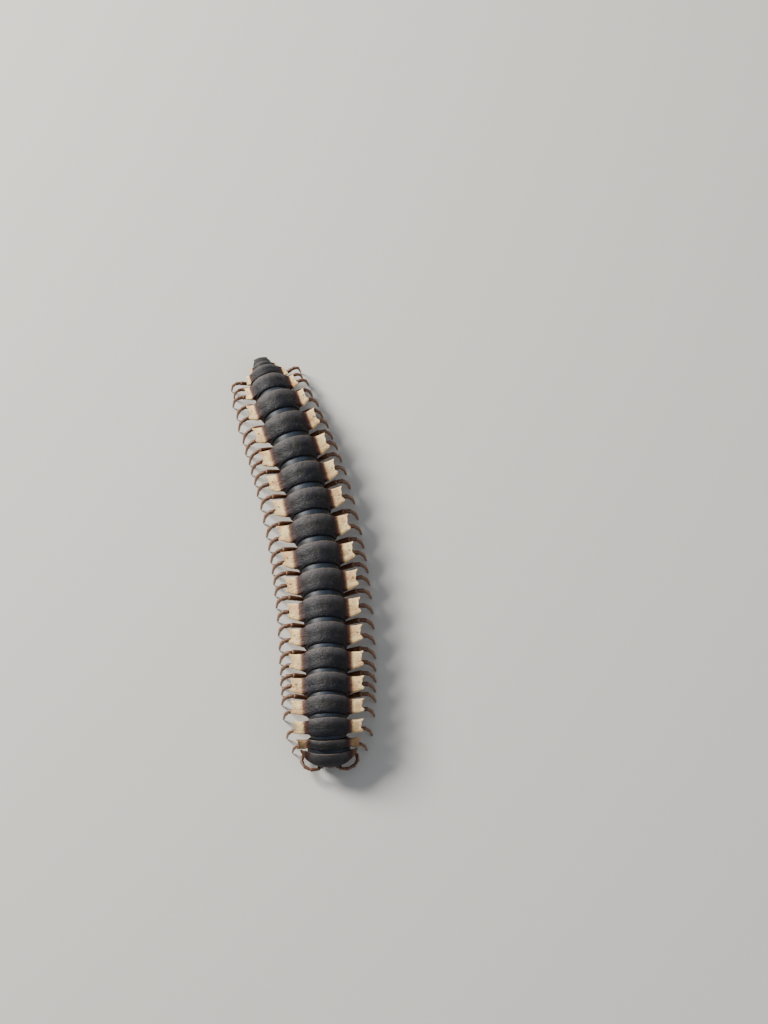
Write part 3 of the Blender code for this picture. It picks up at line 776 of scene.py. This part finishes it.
def roughen(piece, grain_depth, wrinkle_depth=0.0):
    """Presses the grain in and raises the wrinkles, in millimetres."""
    for texture, depth, level in ((grain, -grain_depth, 0.35), (wrinkle, wrinkle_depth, 0.5)):
        settings = {"texture": texture, "texture_coords": "LOCAL", "mid_level": level}
        if depth:
            modify(piece, "DISPLACE", strength=depth, **settings)


for ring in range(FIRST_RING, LAST_RING + 1):
    made = copy_of(dome, f"ring_dome_{ring:02d}")
    set_points(made, laid(fitted(points_of(dome), ring)))
    store(made, "front", HEAD_TINT * math.exp(-(ring - FIRST_RING) / HEAD_TINT_REACH))
    roughen(made, grain_depth=0.05, wrinkle_depth=0.12)
    finish_piece(made, ring_skin, "dorsum", f"ring_{ring:02d}")
    collar = copy_of(band, f"band_{ring:02d}")
    places = fitted(points_of(band), ring)
    if ring == FIRST_RING:
        places[:, 0] *= NAPE_BREADTH
        nape = RIMS[ring] - NAPE_START
        places[:, 1] -= NAPE_SLIDE * ramp(places[:, 1], nape, nape - 0.5)
    finish_piece(set_points(collar, laid(places)), band_skin, "prozonites")
print("rings laid")

# %% [markdown]
# ### Pores
#
# The glands of eleven rings open on the keels, each through a small raised ring with a dark middle. A
# torus and a flattened ball make one. It is set on the keel of the pattern ring, and follows each ring
# by the same fitting and laying as the keels.

# %% Pores
PORE_RINGS = (5, 7, 9, 10, 12, 13, 15, 16, 17, 18, 19)
PORE_OUT, PORE_ALONG = 5.55, -1.55
PORE_RADIUS, PORE_RIM, PORE_DEPTH = 0.13, 0.06, 0.045

mouth = ellipsoid("pore", (0, 0, 0), (PORE_RADIUS, PORE_RADIUS, PORE_DEPTH), 14, 8)
store(mouth, "keel", 0.20)
pore = torus("pore", PORE_RADIUS, PORE_RIM, 20, 8)
store(pore, "keel", 1.0)
pore = join("pore", [pore, mouth])
keel_points = points_of(dome)
near_pore = np.hypot(keel_points[:, 0] - PORE_OUT, keel_points[:, 1] - PORE_ALONG) < 0.25
pore_height = keel_points[near_pore, 2].max() + 0.02
for ring in PORE_RINGS:
    for side in (-1, 1):
        made = copy_of(pore, f"pore_{ring:02d}")
        places = points_of(made) + (side * PORE_OUT, PORE_ALONG, pore_height)
        finish_piece(set_points(made, laid(fitted(places, ring))), ring_skin, "paranota")
for pattern in (dome, band, pore):
    bpy.data.objects.remove(pattern)
print("pores on", len(PORE_RINGS), "rings")

# %% [markdown]
# ## One article for every limb
#
# A leg or a feeler is a chain of tubes. Each is narrow where it hangs in the one before, widest
# near its far end, and rounded off there. The tube is turned once, at a length and radius of 1, and
# copied for every article of the 62 legs and both feelers. So are the claw and the hip's collar.

# %% Article, claw and collar patterns
ARTICLE_LOOPS = (
    (0.60, -0.07), (0.82, -0.04), (0.90, 0.04), (0.94, 0.16), (0.97, 0.36), (1.0, 0.62),
    (1.01, 0.82), (1.04, 0.90), (1.04, 0.94), (0.99, 0.97), (0.88, 0.99), (0.62, 1.0),
)
CLAW_LOOPS = ((1.0, 0.0), (1.0, 0.15), (0.86, 0.40), (0.62, 0.68), (0.34, 0.90), (0.10, 1.0))
COLLAR_LOOPS = ((0.90, -1.0), (1.0, -0.5), (1.02, 0.3), (0.96, 0.7), (0.80, 0.75))
HAIR_RADIUS, HAIR_ROOT = 0.016, 0.86
article = turned("article", ARTICLE_LOOPS, 14)
claw = turned("claw", CLAW_LOOPS, 8)
collar = turned("collar", COLLAR_LOOPS, 18)


def stretched(pattern, name, ends, radii, bow=0.0, down=(0.0, 0.0), bow_to=(0, 0, 1)):
    """The pattern from one point to the next, from one radius to the other, bowed by a share of its
    length. The masks say how far down the limb a point lies and how near a joint it is."""
    made = copy_of(pattern, name)
    x, y, z = points_of(made).T
    first, last = (np.array(end) for end in ends)
    along = last - first
    length = np.linalg.norm(along)
    sideways = np.cross(along, bow_to)
    sideways /= np.linalg.norm(sideways)
    over = np.cross(sideways, along) / length
    radius = radii[0] + (radii[1] - radii[0]) * np.clip(y, 0, 1)
    lift = bow * length * 4 * y * (1 - y)
    places = first + np.outer(y, along) + np.outer(x * radius, sideways) + np.outer(z * radius + lift, over)
    store(made, "down", down[0] + (down[1] - down[0]) * np.clip(y, 0, 1))
    store(made, "joint", ramp(y, 0.90, 0.96) + ramp(y, 0.05, -0.01))
    store(made, "horn", float(pattern == claw))
    return set_points(made, places)


def hairs(name, roots, headings, length, radius):
    """Stiff hairs, each a pointed form with three sides."""
    shell = bmesh.new()
    for root, heading in zip(roots, headings):
        heading = Vector(heading).normalized()
        first = heading.orthogonal().normalized() * radius
        second = heading.cross(first)
        base = [Vector(root) + first * math.cos(turn) + second * math.sin(turn) for turn in (0, 2.09, 4.19)]
        ring = [shell.verts.new(place) for place in base]
        tip = shell.verts.new(Vector(root) + heading * length * draw.uniform(0.75, 1.15))
        shell.faces.new(reversed(ring))
        for near, far in zip(ring, ring[1:] + ring[:1]):
            shell.faces.new((near, far, tip))
    mesh = bpy.data.meshes.new(name)
    shell.to_mesh(mesh)
    shell.free()
    made = bpy.data.objects.new(name, mesh)
    bpy.context.scene.collection.objects.link(made)
    return made


def hairs_round(name, ends, radii, count, length, lean):
    """Hairs round an article, rooted just under its surface and leaning towards its far end."""
    first, last = (Vector(end) for end in ends)
    along = (last - first).normalized()
    sideways = along.orthogonal().normalized()
    roots, headings = [], []
    for _ in range(count):
        turn, share = draw.uniform(0, math.tau), draw.uniform(0.15, 0.95)
        outward = sideways * math.cos(turn) + along.cross(sideways) * math.sin(turn)
        radius = radii[0] + (radii[1] - radii[0]) * share
        roots.append(first.lerp(last, share) + outward * radius * HAIR_ROOT)
        headings.append(outward + along * lean)
    return hairs(name, roots, headings, length, HAIR_RADIUS)


print("article:", len(article.data.polygons), "faces, claw:", len(claw.data.polygons), "faces")

# %% [markdown]
# ## The legs
#
# Six articles and a claw: the coxa and prefemur lead out under the keel, the long femur rises to the
# knee, and the postfemur, tibia and tarsus go down to the ground. Their joints are worked out from the
# hip, as shares of the leg's reach, so the same numbers fit all 31 pairs. The wave that runs down the
# legs swings each pair a little forward or back.

# %% Leg sizes
LEG_REACH, HIP_OUT = 8.6, 0.80
# Each joint: share of the reach, height over the hip, height over the floor, share of the floor's.
LEG_JOINTS = (
    (0.165, -0.20, 0.0, 0.0), (0.330, 0.35, 0.0, 0.0), (0.705, 2.05, 4.1, 0.30),
    (0.845, 1.95, 4.0, 0.60), (0.945, 0.0, 2.9, 1.0), (1.0, 0.0, 0.45, 1.0),
)
# Each article: its radii at both ends, and its bow.
LEG_ARTICLES = (
    (0.50, 0.57, 0.0), (0.46, 0.55, 0.03), (0.41, 0.49, 0.05),
    (0.39, 0.43, 0.02), (0.35, 0.37, 0.03), (0.31, 0.19, 0.02),
)
# Hairs on the articles by order: how many, how long, and how far they lean.
LEG_HAIRS = {2: (8, 0.16, 0.9), 3: (6, 0.18, 0.8), 4: (10, 0.24, 0.8), 5: (18, 0.27, 1.1)}
CLAW_RADIUS, CLAW_CLEAR, CLAW_BOW = 0.15, 0.02, 0.16
COLLAR_RADIUS, COLLAR_REACH = 0.66, 0.22
WAVE_LEGS, WAVE_SWING, LEG_SPREAD = 9.0, 0.55, 0.22
HIP_FORE, HIP_AFT, LONE_HIP, HIP_DEPTH = 0.58, 0.16, 0.34, 0.45
STERNAL_THICKNESS, STERNAL_REACH, STERNAL_MARGIN = 0.80, 1.45, 0.60
STERNAL_BEVEL, STERNAL_GROOVE = 0.14, 0.22
SIDES = {1: "left", -1: "right"}


def hip_places(ring):
    """Where the legs of a ring stand along the line: one on the first rings, two on the rest."""
    shares = [LONE_HIP] if ring < FIRST_DOUBLE_RING else [HIP_FORE, HIP_AFT]
    return [RIMS[ring] - share * (RIMS[ring] - RIMS[ring - 1]) for share in shares]


def belly(ring):
    """The flat sternum's height over the axis."""
    return -BARREL_RADIUS * swell(ring, BARREL_ENDS) * BARREL_FLATNESS * STERNUM_SHARE


def leg_joints(ring, side, along, swing):
    """The joints of one leg, from its hip to the claw's root, and its foot on the floor."""
    size = swell(ring, LEG_ENDS)
    point, right, back, up = line_frame(along)
    out = right * side
    level_back = Vector((back.x, back.y, 0.0)).normalized()
    hip = point + up * (belly(ring) - GAP - STERNAL_THICKNESS * HIP_DEPTH) + out * HIP_OUT
    joints = [hip]
    for reach, over_hip, over_floor, share in LEG_JOINTS:
        height = (1 - share) * (hip.z + over_hip * size) + share * over_floor * size
        place = point + out * (HIP_OUT + reach * (LEG_REACH * size - HIP_OUT)) + level_back * swing * reach
        joints.append(Vector((place.x, place.y, height)))
    return joints + [Vector((joints[-1].x, joints[-1].y, CLAW_CLEAR))]


# %% Legs
number = 0
for ring in range(FIRST_RING, LAST_LEGGED_RING + 1):
    size = swell(ring, LEG_ENDS)
    hips = hip_places(ring)
    for side, side_name in SIDES.items():
        pieces = []
        for index, along in enumerate(hips):
            wave = math.sin(math.tau * (number + index) / WAVE_LEGS)
            spread = LEG_SPREAD * (2 * index - 1) if len(hips) > 1 else 0.0
            joints = leg_joints(ring, side, along, WAVE_SWING * wave + spread)
            ends, radii = (joints[0], joints[0].lerp(joints[1], COLLAR_REACH)), [COLLAR_RADIUS * size] * 2
            pieces.append(stretched(collar, "socket", ends, radii))
            for order, (narrow, wide, bow) in enumerate(LEG_ARTICLES):
                ends, radii = joints[order:order + 2], (narrow * size, wide * size)
                down = (order / len(LEG_ARTICLES), (order + 1) / len(LEG_ARTICLES))
                pieces.append(stretched(article, "article", ends, radii, bow, down))
            radii = [CLAW_RADIUS * size] * 2
            pieces.append(stretched(claw, "claw", joints[-2:], radii, CLAW_BOW, (1, 1), (side, 0, 0)))
            for order, (count, length, lean) in LEG_HAIRS.items():
                radii = [radius * size for radius in LEG_ARTICLES[order][:2]]
                pieces.append(hairs_round("leg_hairs", joints[order:order + 2], radii, count, length, lean))
        legs = join(f"legs_{side_name}_{ring:02d}_fine", pieces)
        finish_piece(legs, leg_skin, "legs", f"legs_{side_name}_{ring:02d}")
    number += len(hips)
print("pairs of legs:", number)

# %% [markdown]
# ### The sterna
#
# Each ring carries its legs on a raised plate with a groove along its middle. It is a block with
# bevelled edges, cut lengthwise, with the middle line pushed in.

# %% Sterna
STERNAL_CUTS = [((cut, 0, 0), (1, 0, 0)) for cut in (-0.16, 0.0, 0.16)]
STERNAL_CUTS += [((0, cut, 0), (0, 1, 0)) for cut in (-0.2, 0.2)]
sternum = start("sternum", bpy.ops.mesh.primitive_cube_add, size=1)
bpy.ops.mesh.select_all(action="SELECT")
bpy.ops.mesh.bevel(offset=STERNAL_BEVEL, segments=3, affect="EDGES")
for place, facing in STERNAL_CUTS:
    bpy.ops.mesh.select_all(action="SELECT")
    bpy.ops.mesh.bisect(plane_co=place, plane_no=facing)
pick(sternum, "VERT", lambda place: abs(place.x) < 0.01 and place.z < 0)
bpy.ops.transform.translate(value=(0, 0, STERNAL_GROOVE))
done(sternum)
for ring in range(FIRST_RING, LAST_LEGGED_RING + 1):
    hips = hip_places(ring)
    reach = 2 * STERNAL_REACH * swell(ring, BARREL_ENDS)
    length = hips[-1] - hips[0] + 2 * STERNAL_MARGIN
    middle = (hips[0] + hips[-1]) / 2
    made = copy_of(sternum, f"sternum_{ring:02d}")
    places = points_of(made) * (reach, length, STERNAL_THICKNESS)
    places += (0, middle, belly(ring) - GAP - STERNAL_THICKNESS / 2)
    finish_piece(set_points(made, laid(places)), leg_skin, "legs")
bpy.data.objects.remove(sternum)

# %% [markdown]
# ## The head
#
# The animal has no eyes: the head is a smooth capsule with a groove down its crown, bulging mandible
# bases on both sides, a notched upper lip with three teeth, and a many-plated lower lip. Each of these
# is a primitive of its own. Joined, they are wrapped in one skin by a voxel Remesh, and a few rounds of
# Smooth leave soft seams where the plates meet. A Boolean union would leave knife-sharp ones.

# %% Head sizes
HEAD_HALF = np.array([2.5, 1.8, 2.1])
HEAD_PLACE, HEAD_TILT = Vector((0.0, -1.65, -0.45)), math.radians(-18)
FACE_FLATNESS = 0.92
SOCKET_OUT, SOCKET_UP, SOCKET_LENGTH = 1.05, 0.45, 1.80
SOCKET_HEADING = Vector((0.35, -1.0, 0.0)).normalized()
COLLUM_HALF, COLLUM_LENGTH, COLLUM_FOOT, COLLUM_THICKNESS = 5.0, 2.8, 0.82, 0.34
COLLUM_SIDE, COLLUM_SIDE_FALL, COLLUM_BLEND = 1.45, 0.35, 3.2
COLLUM_DOME, COLLUM_DOME_BREADTH = 0.97, 1.10
COLLUM_FRONT, COLLUM_FRONT_POWER = 0.97, 2.6
COLLUM_PLAN_POWERS = 2.3, 0.62


def shield_reach(width):
    """How far ahead the collum reaches at this distance from the middle."""
    inner, outer = COLLUM_PLAN_POWERS
    return COLLUM_LENGTH * np.clip(1 - np.abs(width / COLLUM_HALF) ** inner, 0, 1) ** outer


def shield_height(width, share):
    """The collum's top, at this share of the way from its rear margin to its front edge."""
    barrel = BARREL_RADIUS * swell(FIRST_RING, BARREL_ENDS) * COLLUM_DOME
    slope = np.clip(1 - (width / (barrel * COLLUM_DOME_BREADTH)) ** 2, 0, 1)
    dome = barrel * BARREL_FLATNESS * np.sqrt(slope)
    side_top = COLLUM_SIDE - COLLUM_SIDE_FALL * np.abs(width) / COLLUM_HALF
    top = np.logaddexp(dome * COLLUM_BLEND, side_top * COLLUM_BLEND) / COLLUM_BLEND
    fall = np.clip(1 - (share * COLLUM_FRONT) ** COLLUM_FRONT_POWER, 0, 1)
    return COLLUM_FOOT + (top - COLLUM_FOOT) * np.sqrt(fall)


point, right, back, up = line_frame(0.0)
neck_frame = Matrix.Translation(point) @ Matrix((right, back, up)).transposed().to_4x4()
head_frame = neck_frame @ Matrix.Translation(HEAD_PLACE) @ Matrix.Rotation(HEAD_TILT, 4, "X")

# %% Capsule, cheeks and lips
skull = ellipsoid("skull", (0, 0, 0), HEAD_HALF, 64, 40)
places = points_of(skull)
places[:, 1] *= np.where(places[:, 1] < 0, FACE_FLATNESS, 1.0)
set_points(skull, places)
parts = [
    skull,
    ellipsoid("clypeus", (0, -1.12, -0.72), (1.30, 0.55, 0.72)),
    lobe("upper_lip", (-1.10, -1.40, -1.86), (1.10, -0.55, -1.10), 0.16),
    ellipsoid("mentum", (0, 0.62, -1.62), (0.48, 0.70, 0.46)),
]
for side in SIDES:
    parts += [
        ellipsoid("cardo", (side * 1.86, 0.42, -0.62), (0.66, 0.72, 0.74)),
        ellipsoid("stipes", (side * 1.72, -0.42, -1.08), (0.78, 0.80, 0.86)),
        ellipsoid("lower_lip", (side * 0.62, 0.26, -1.62), (0.42, 0.86, 0.48)),
        lobe("lip_lobe", (side * 0.20, -1.34, -2.14), (side * 1.02, -0.62, -1.70), 0.14),
    ]
for tooth in (-0.11, 0.0, 0.11):
    parts.append(ellipsoid("lip_tooth", (tooth, -1.08, -1.90), (0.055, 0.10, 0.13), 12, 8))
print("head is wrapped from", len(parts), "parts")

# %% Antennal sockets
SOCKET_RIM, SOCKET_DEPTH = (0.42, 0.13), 0.10
SOCKET_LOOPS = ((0.50, -1.3), (0.47, -0.10), (0.40, 0.0), (0.20, 0.04))


def socket(side):
    """A feeler's root inside the head, and where it points."""
    heading = Vector((side * SOCKET_HEADING.x, SOCKET_HEADING.y, SOCKET_HEADING.z))
    return Vector((side * SOCKET_OUT, 0.0, SOCKET_UP)), heading


for side in SIDES:
    root, heading = socket(side)
    face = root + heading * (SOCKET_LENGTH - SOCKET_DEPTH)
    rim = torus("socket_rim", *SOCKET_RIM, 28, 12)
    cup = turned("socket_cup", SOCKET_LOOPS, 24)
    for piece, ahead, above in ((rim, "Z", "Y"), (cup, "Y", "Z")):
        turn = heading.to_track_quat(ahead, above).to_matrix().to_4x4()
        piece.data.transform(Matrix.Translation(face) @ turn)
    parts += [rim, cup]

# %% One skin over the head
HEAD_VOXEL = 0.05
CROWN_GROOVE, CROWN_WIDTH = 0.08, 0.09
BROW_GROOVE, BROW_WIDTH, BROW_DROP, BROW_ARCH = 0.03, 0.14, 0.10, 0.10
CEILING_CLEAR, CEILING_SLOPE, CEILING_SOFTNESS = 0.12, 0.55, 0.22
head = join("head_fine", parts)
modify(head, "REMESH", mode="VOXEL", voxel_size=HEAD_VOXEL)
modify(head, "SMOOTH", factor=0.5, iterations=5)
places = points_of(head)
x, y, z = places.T
crown = np.exp(-((x / CROWN_WIDTH) ** 2)) * ramp(z, 0.1, 0.6)
from_brow = z + BROW_DROP + BROW_ARCH * x**2
brow = np.exp(-((from_brow / BROW_WIDTH) ** 2)) * (y < -0.6) * ramp(np.abs(x), 1.5, 1.0)
groove = CROWN_GROOVE * crown + BROW_GROOVE * brow
places *= 1 - (groove / np.linalg.norm(places, axis=1))[:, None]
store(head, "pale", ramp(z, -1.55, -1.85) * (y < -0.3) + np.minimum(ramp(z, -1.2, -1.8), 0.5) * (y > -0.3))
# The crown is tucked under the collum: its height is eased under the shield, and slopes away before it.
flat = np.column_stack([places, np.ones(len(places))]) @ np.array(neck_frame.inverted() @ head_frame).T
ahead = -flat[:, 1]
edge = np.maximum(shield_reach(flat[:, 0]), 0.2)
ceiling = shield_height(flat[:, 0], np.clip(ahead / edge, 0, 1)) - COLLUM_THICKNESS - CEILING_CLEAR
ceiling -= CEILING_SLOPE * np.maximum(ahead - edge, 0)
flat[:, 2] = ceiling - CEILING_SOFTNESS * np.logaddexp(0, (ceiling - flat[:, 2]) / CEILING_SOFTNESS)
flat[:, 1] = np.minimum(flat[:, 1], -0.15)
laid_head = flat @ np.array(neck_frame).T
finish_piece(set_points(head, laid_head[:, :3].copy()), head_skin, "head", "head")
print("head:", len(head.data.polygons), "faces")

# %% Hairs on the face and along the lip
FACE_HAIRS, LIP_HAIRS = 70, 34
FACE_HAIR_LENGTH, FACE_HAIR_RADIUS, FACE_HAIR_LEAN = 0.24, 0.011, 0.7
on_face = (y < -0.7) & (np.abs(x) < 1.5) & (z < 0.0) & (z > -1.8)
on_lip = (y < -0.8) & (np.abs(x) < 1.05) & (z < -1.95)
roots, headings, down_face = [], [], head_frame.to_3x3() @ Vector((0, -0.3, -1))
for area, count in ((on_face, FACE_HAIRS), (on_lip, LIP_HAIRS)):
    for index in draw.sample([int(found) for found in np.flatnonzero(area)], count):
        roots.append(laid_head[index, :3])
        headings.append(head.data.vertices[index].normal + down_face * FACE_HAIR_LEAN)
face_hairs = hairs("face_hairs", roots, headings, FACE_HAIR_LENGTH, FACE_HAIR_RADIUS)
finish_piece(face_hairs, leg_skin, "head")

# %% [markdown]
# ## Feelers
#
# Seven articles, the sixth the longest and thickest near its end, and four sense cones on the last.
# They curl out and back beside the head, as the animal carries them when it rests.

# %% Feelers
FEELER_ARTICLES = (0.55, 1.25, 1.35, 1.25, 1.15, 1.20, 0.60)
FEELER_RADII = (0.33, 0.34, 0.35, 0.35, 0.36, 0.38, 0.30)
FEELER_NARROWING, FEELER_START, FEELER_HAIRS = 0.72, -0.06, (46, 0.22, 0.8)
# How far the first article turns out and sinks, and how much more each next one does.
FEELER_OUT, FEELER_OUT_STEP = math.radians(58), math.radians(33)
FEELER_SINK, FEELER_SINK_STEP = math.radians(2), math.radians(4)
CONES, CONE_LENGTH, CONE_RADIUS = 4, 0.17, 0.055
CONE_OUT, CONE_SINK, CONE_SPLAY = 0.13, 0.02, 0.02
for side, side_name in SIDES.items():
    root, heading = socket(side)
    face = head_frame @ (root + heading * SOCKET_LENGTH)
    joints = [face + (face - head_frame @ root).normalized() * FEELER_START]
    pieces = []
    for order, (length, radius) in enumerate(zip(FEELER_ARTICLES, FEELER_RADII)):
        out = side * (FEELER_OUT + FEELER_OUT_STEP * order)
        sink = FEELER_SINK + FEELER_SINK_STEP * order
        way = Vector((math.sin(out), -math.cos(out), -math.tan(sink))).normalized()
        joints.append(joints[-1] + way * length)
        radii = (radius * FEELER_NARROWING, radius)
        down = (order / len(FEELER_ARTICLES), (order + 1) / len(FEELER_ARTICLES))
        pieces.append(stretched(article, "article", joints[-2:], radii, 0.0, down))
        pieces.append(hairs_round("feeler_hairs", joints[-2:], radii, *FEELER_HAIRS))
    along = (joints[-1] - joints[-2]).normalized()
    for turn in range(CONES):
        sideways = Matrix.Rotation(turn * math.tau / CONES, 3, along) @ along.orthogonal().normalized()
        base = joints[-1] + sideways * CONE_OUT - along * CONE_SINK
        tip = base + along * CONE_LENGTH + sideways * CONE_SPLAY
        pieces.append(stretched(claw, "sense_cone", (base, tip), (CONE_RADIUS, CONE_RADIUS), 0.0, (1, 1)))
    feeler = join(f"antenna_{side_name}_fine", pieces)
    finish_piece(feeler, leg_skin, "antennae", f"antenna_{side_name}")
for pattern in (article, claw, collar):
    bpy.data.objects.remove(pattern)

# %% [markdown]
# ## The collum
#
# The first ring has no keels of its own: it is a shield over the back of the head, domed in the middle
# and drawn out into flat sides. A grid is laid on that form by its own formula, given its thickness by
# Solidify, and roughened like the other rings.

# %% Collum
COLLUM_SWEEP, COLLUM_REAR = 0.40, -0.02
COLLUM_TINT_START, COLLUM_TINT = 0.54 * COLLUM_HALF, 0.52
shield = start("collum_fine", bpy.ops.mesh.primitive_grid_add, size=2, x_subdivisions=96, y_subdivisions=28)
done(shield)
u, v, _ = points_of(shield).T
width = COLLUM_HALF * np.sin(u * math.pi / 2)
share = (1 - v) / 2
along = COLLUM_REAR - share * shield_reach(width) + COLLUM_SWEEP * np.abs(width / COLLUM_HALF) ** 3
set_points(shield, np.column_stack([width, along, shield_height(width, share)]))
modify(shield, "WELD", merge_threshold=0.004)
modify(shield, "SOLIDIFY", thickness=COLLUM_THICKNESS, offset=-1.0, use_even_offset=False)
places = points_of(shield)
sideness = ramp(np.abs(places[:, 0]), COLLUM_TINT_START, COLLUM_HALF)
store(shield, "keel", sideness * COLLUM_TINT)
store(shield, "front", 1.0)
# The rear mask paints the collum lighter towards its rear, as painted light, and darker towards its front,
# as painted shade.
store(shield, "rear", ramp(places[:, 1], -4.25, 0.75))
store(shield, "margin", ramp(places[:, 1], -0.20, -0.05) * (sideness <= 0))
set_points(shield, laid(places))
modify(shield, "SUBSURF", levels=1, render_levels=1)
roughen(shield, grain_depth=0.05, wrinkle_depth=0.10)
finish_piece(shield, ring_skin, "dorsum", "collum")

# %% Neck
NECK_LOOPS, NECK_FLATNESS = ((1.6, -2.0), (2.0, -1.0), (NECK_RADIUS, -0.4), (2.0, -0.02)), 0.95
nape = turned("neck", NECK_LOOPS, 40, NECK_FLATNESS)
finish_piece(set_points(nape, laid(points_of(nape))), head_skin, "head")
print("collum:", len(shield.data.polygons), "faces")

# %% [markdown]
# ## The tail piece
#
# The telson is a short ring under a broad, flat, paddle-shaped plate with bristled warts on its rim, and
# two bulging valves close the body under it.

# %% Telson sizes
TELSON_LENGTH, TELSON_SHARE = 1.5, 0.84
TELSON_LOOPS = (
    (0.70, -0.9), (0.86, -0.6), (0.92, -0.2), (0.98, 0.05), (1.0, 0.5),
    (0.97, 0.9), (0.92, 1.2), (0.80, 1.42), (0.55, 1.46),
)
EPIPROCT_LENGTH, EPIPROCT_WIDTH, EPIPROCT_THICKNESS = 1.4, 2.6, 0.42
# Where the plate starts on the telson's back, and how high it lies as a share of the telson's height.
EPIPROCT_START, EPIPROCT_HEIGHT = 0.30, 0.55
tail_radius = BARREL_RADIUS * swell(LAST_RING, BARREL_ENDS) * TELSON_SHARE
tail_start = RIMS[LAST_RING] + GAP
tail_end = tail_start + TELSON_LENGTH
plate_start, plate_end = tail_start + EPIPROCT_START, tail_end + EPIPROCT_LENGTH
plate_foot = tail_radius * BARREL_FLATNESS * EPIPROCT_HEIGHT
# Warts on each side of the plate's rim: how far behind the telson, and how far out.
WARTS = ((0.30, 1.17), (0.75, 1.16), (1.16, 1.06), (1.40, 0.66), (1.40, 0.24))
WART_RADII, WART_HEIGHT = (0.10, 0.12, 0.09), plate_foot + 0.04

# %% Telson and its plate
tail = barrel_form("telson_fine", tail_radius, tail_start, TELSON_LOOPS, 40)
paddle = start("epiproct", bpy.ops.mesh.primitive_grid_add, size=2, x_subdivisions=24, y_subdivisions=36)
done(paddle)
u, v, _ = points_of(paddle).T
share = (v + 1) / 2
half_width = EPIPROCT_WIDTH / 2 * (0.90 + 0.10 * np.sin(share * math.pi * 1.1 - 0.6))
half_width *= np.sqrt(np.clip(1 - 0.80 * share**9, 0.02, 1))
along = plate_start + share * (plate_end - plate_start)
plate_top = plate_foot + 0.28 - 0.14 * u**2 + 0.10 * (1 - share)
set_points(paddle, np.column_stack([u * half_width, along, plate_top]))
modify(paddle, "SOLIDIFY", thickness=EPIPROCT_THICKNESS, offset=-1.0)
parts = [tail, paddle]
for side in SIDES:
    for behind, out in WARTS:
        parts.append(ellipsoid("wart", (side * out, tail_end + behind, WART_HEIGHT), WART_RADII, 12, 8))
tail = join("telson_fine", parts)
modify(tail, "REMESH", mode="VOXEL", voxel_size=0.06)
modify(tail, "SMOOTH", factor=0.5, iterations=4)
set_points(tail, laid(points_of(tail)))
# A middling rear value gives the telson a little of the rings' painted light.
store(tail, "rear", 0.6)
roughen(tail, grain_depth=0.03)
finish_piece(tail, ring_skin, "dorsum", "telson")

# %% Anal valves
VALVE_OUT, VALVE_DROP, RIM_HALF = tail_radius * 0.34, tail_radius * 0.22, 0.07
HYPOPROCT_DROP = tail_radius * 0.78
valves = []
for side in SIDES:
    place = (side * VALVE_OUT, tail_end - 0.15, -VALVE_DROP)
    valves.append(ellipsoid("anal_valves", place, (tail_radius * 0.42, 0.75, tail_radius * 0.62)))
    place = (side * RIM_HALF, tail_end + 0.42, -VALVE_DROP)
    valves.append(ellipsoid("valve_rim", place, (RIM_HALF, 0.20, tail_radius * 0.50), 12, 16))
place = (0, tail_end - 0.10, -HYPOPROCT_DROP)
valves.append(ellipsoid("hypoproct", place, (tail_radius * 0.34, 0.50, 0.20)))
valves = join("anal_valves", valves)
finish_piece(set_points(valves, laid(points_of(valves))), head_skin, "dorsum")
print("telson:", len(tail.data.polygons), "faces")
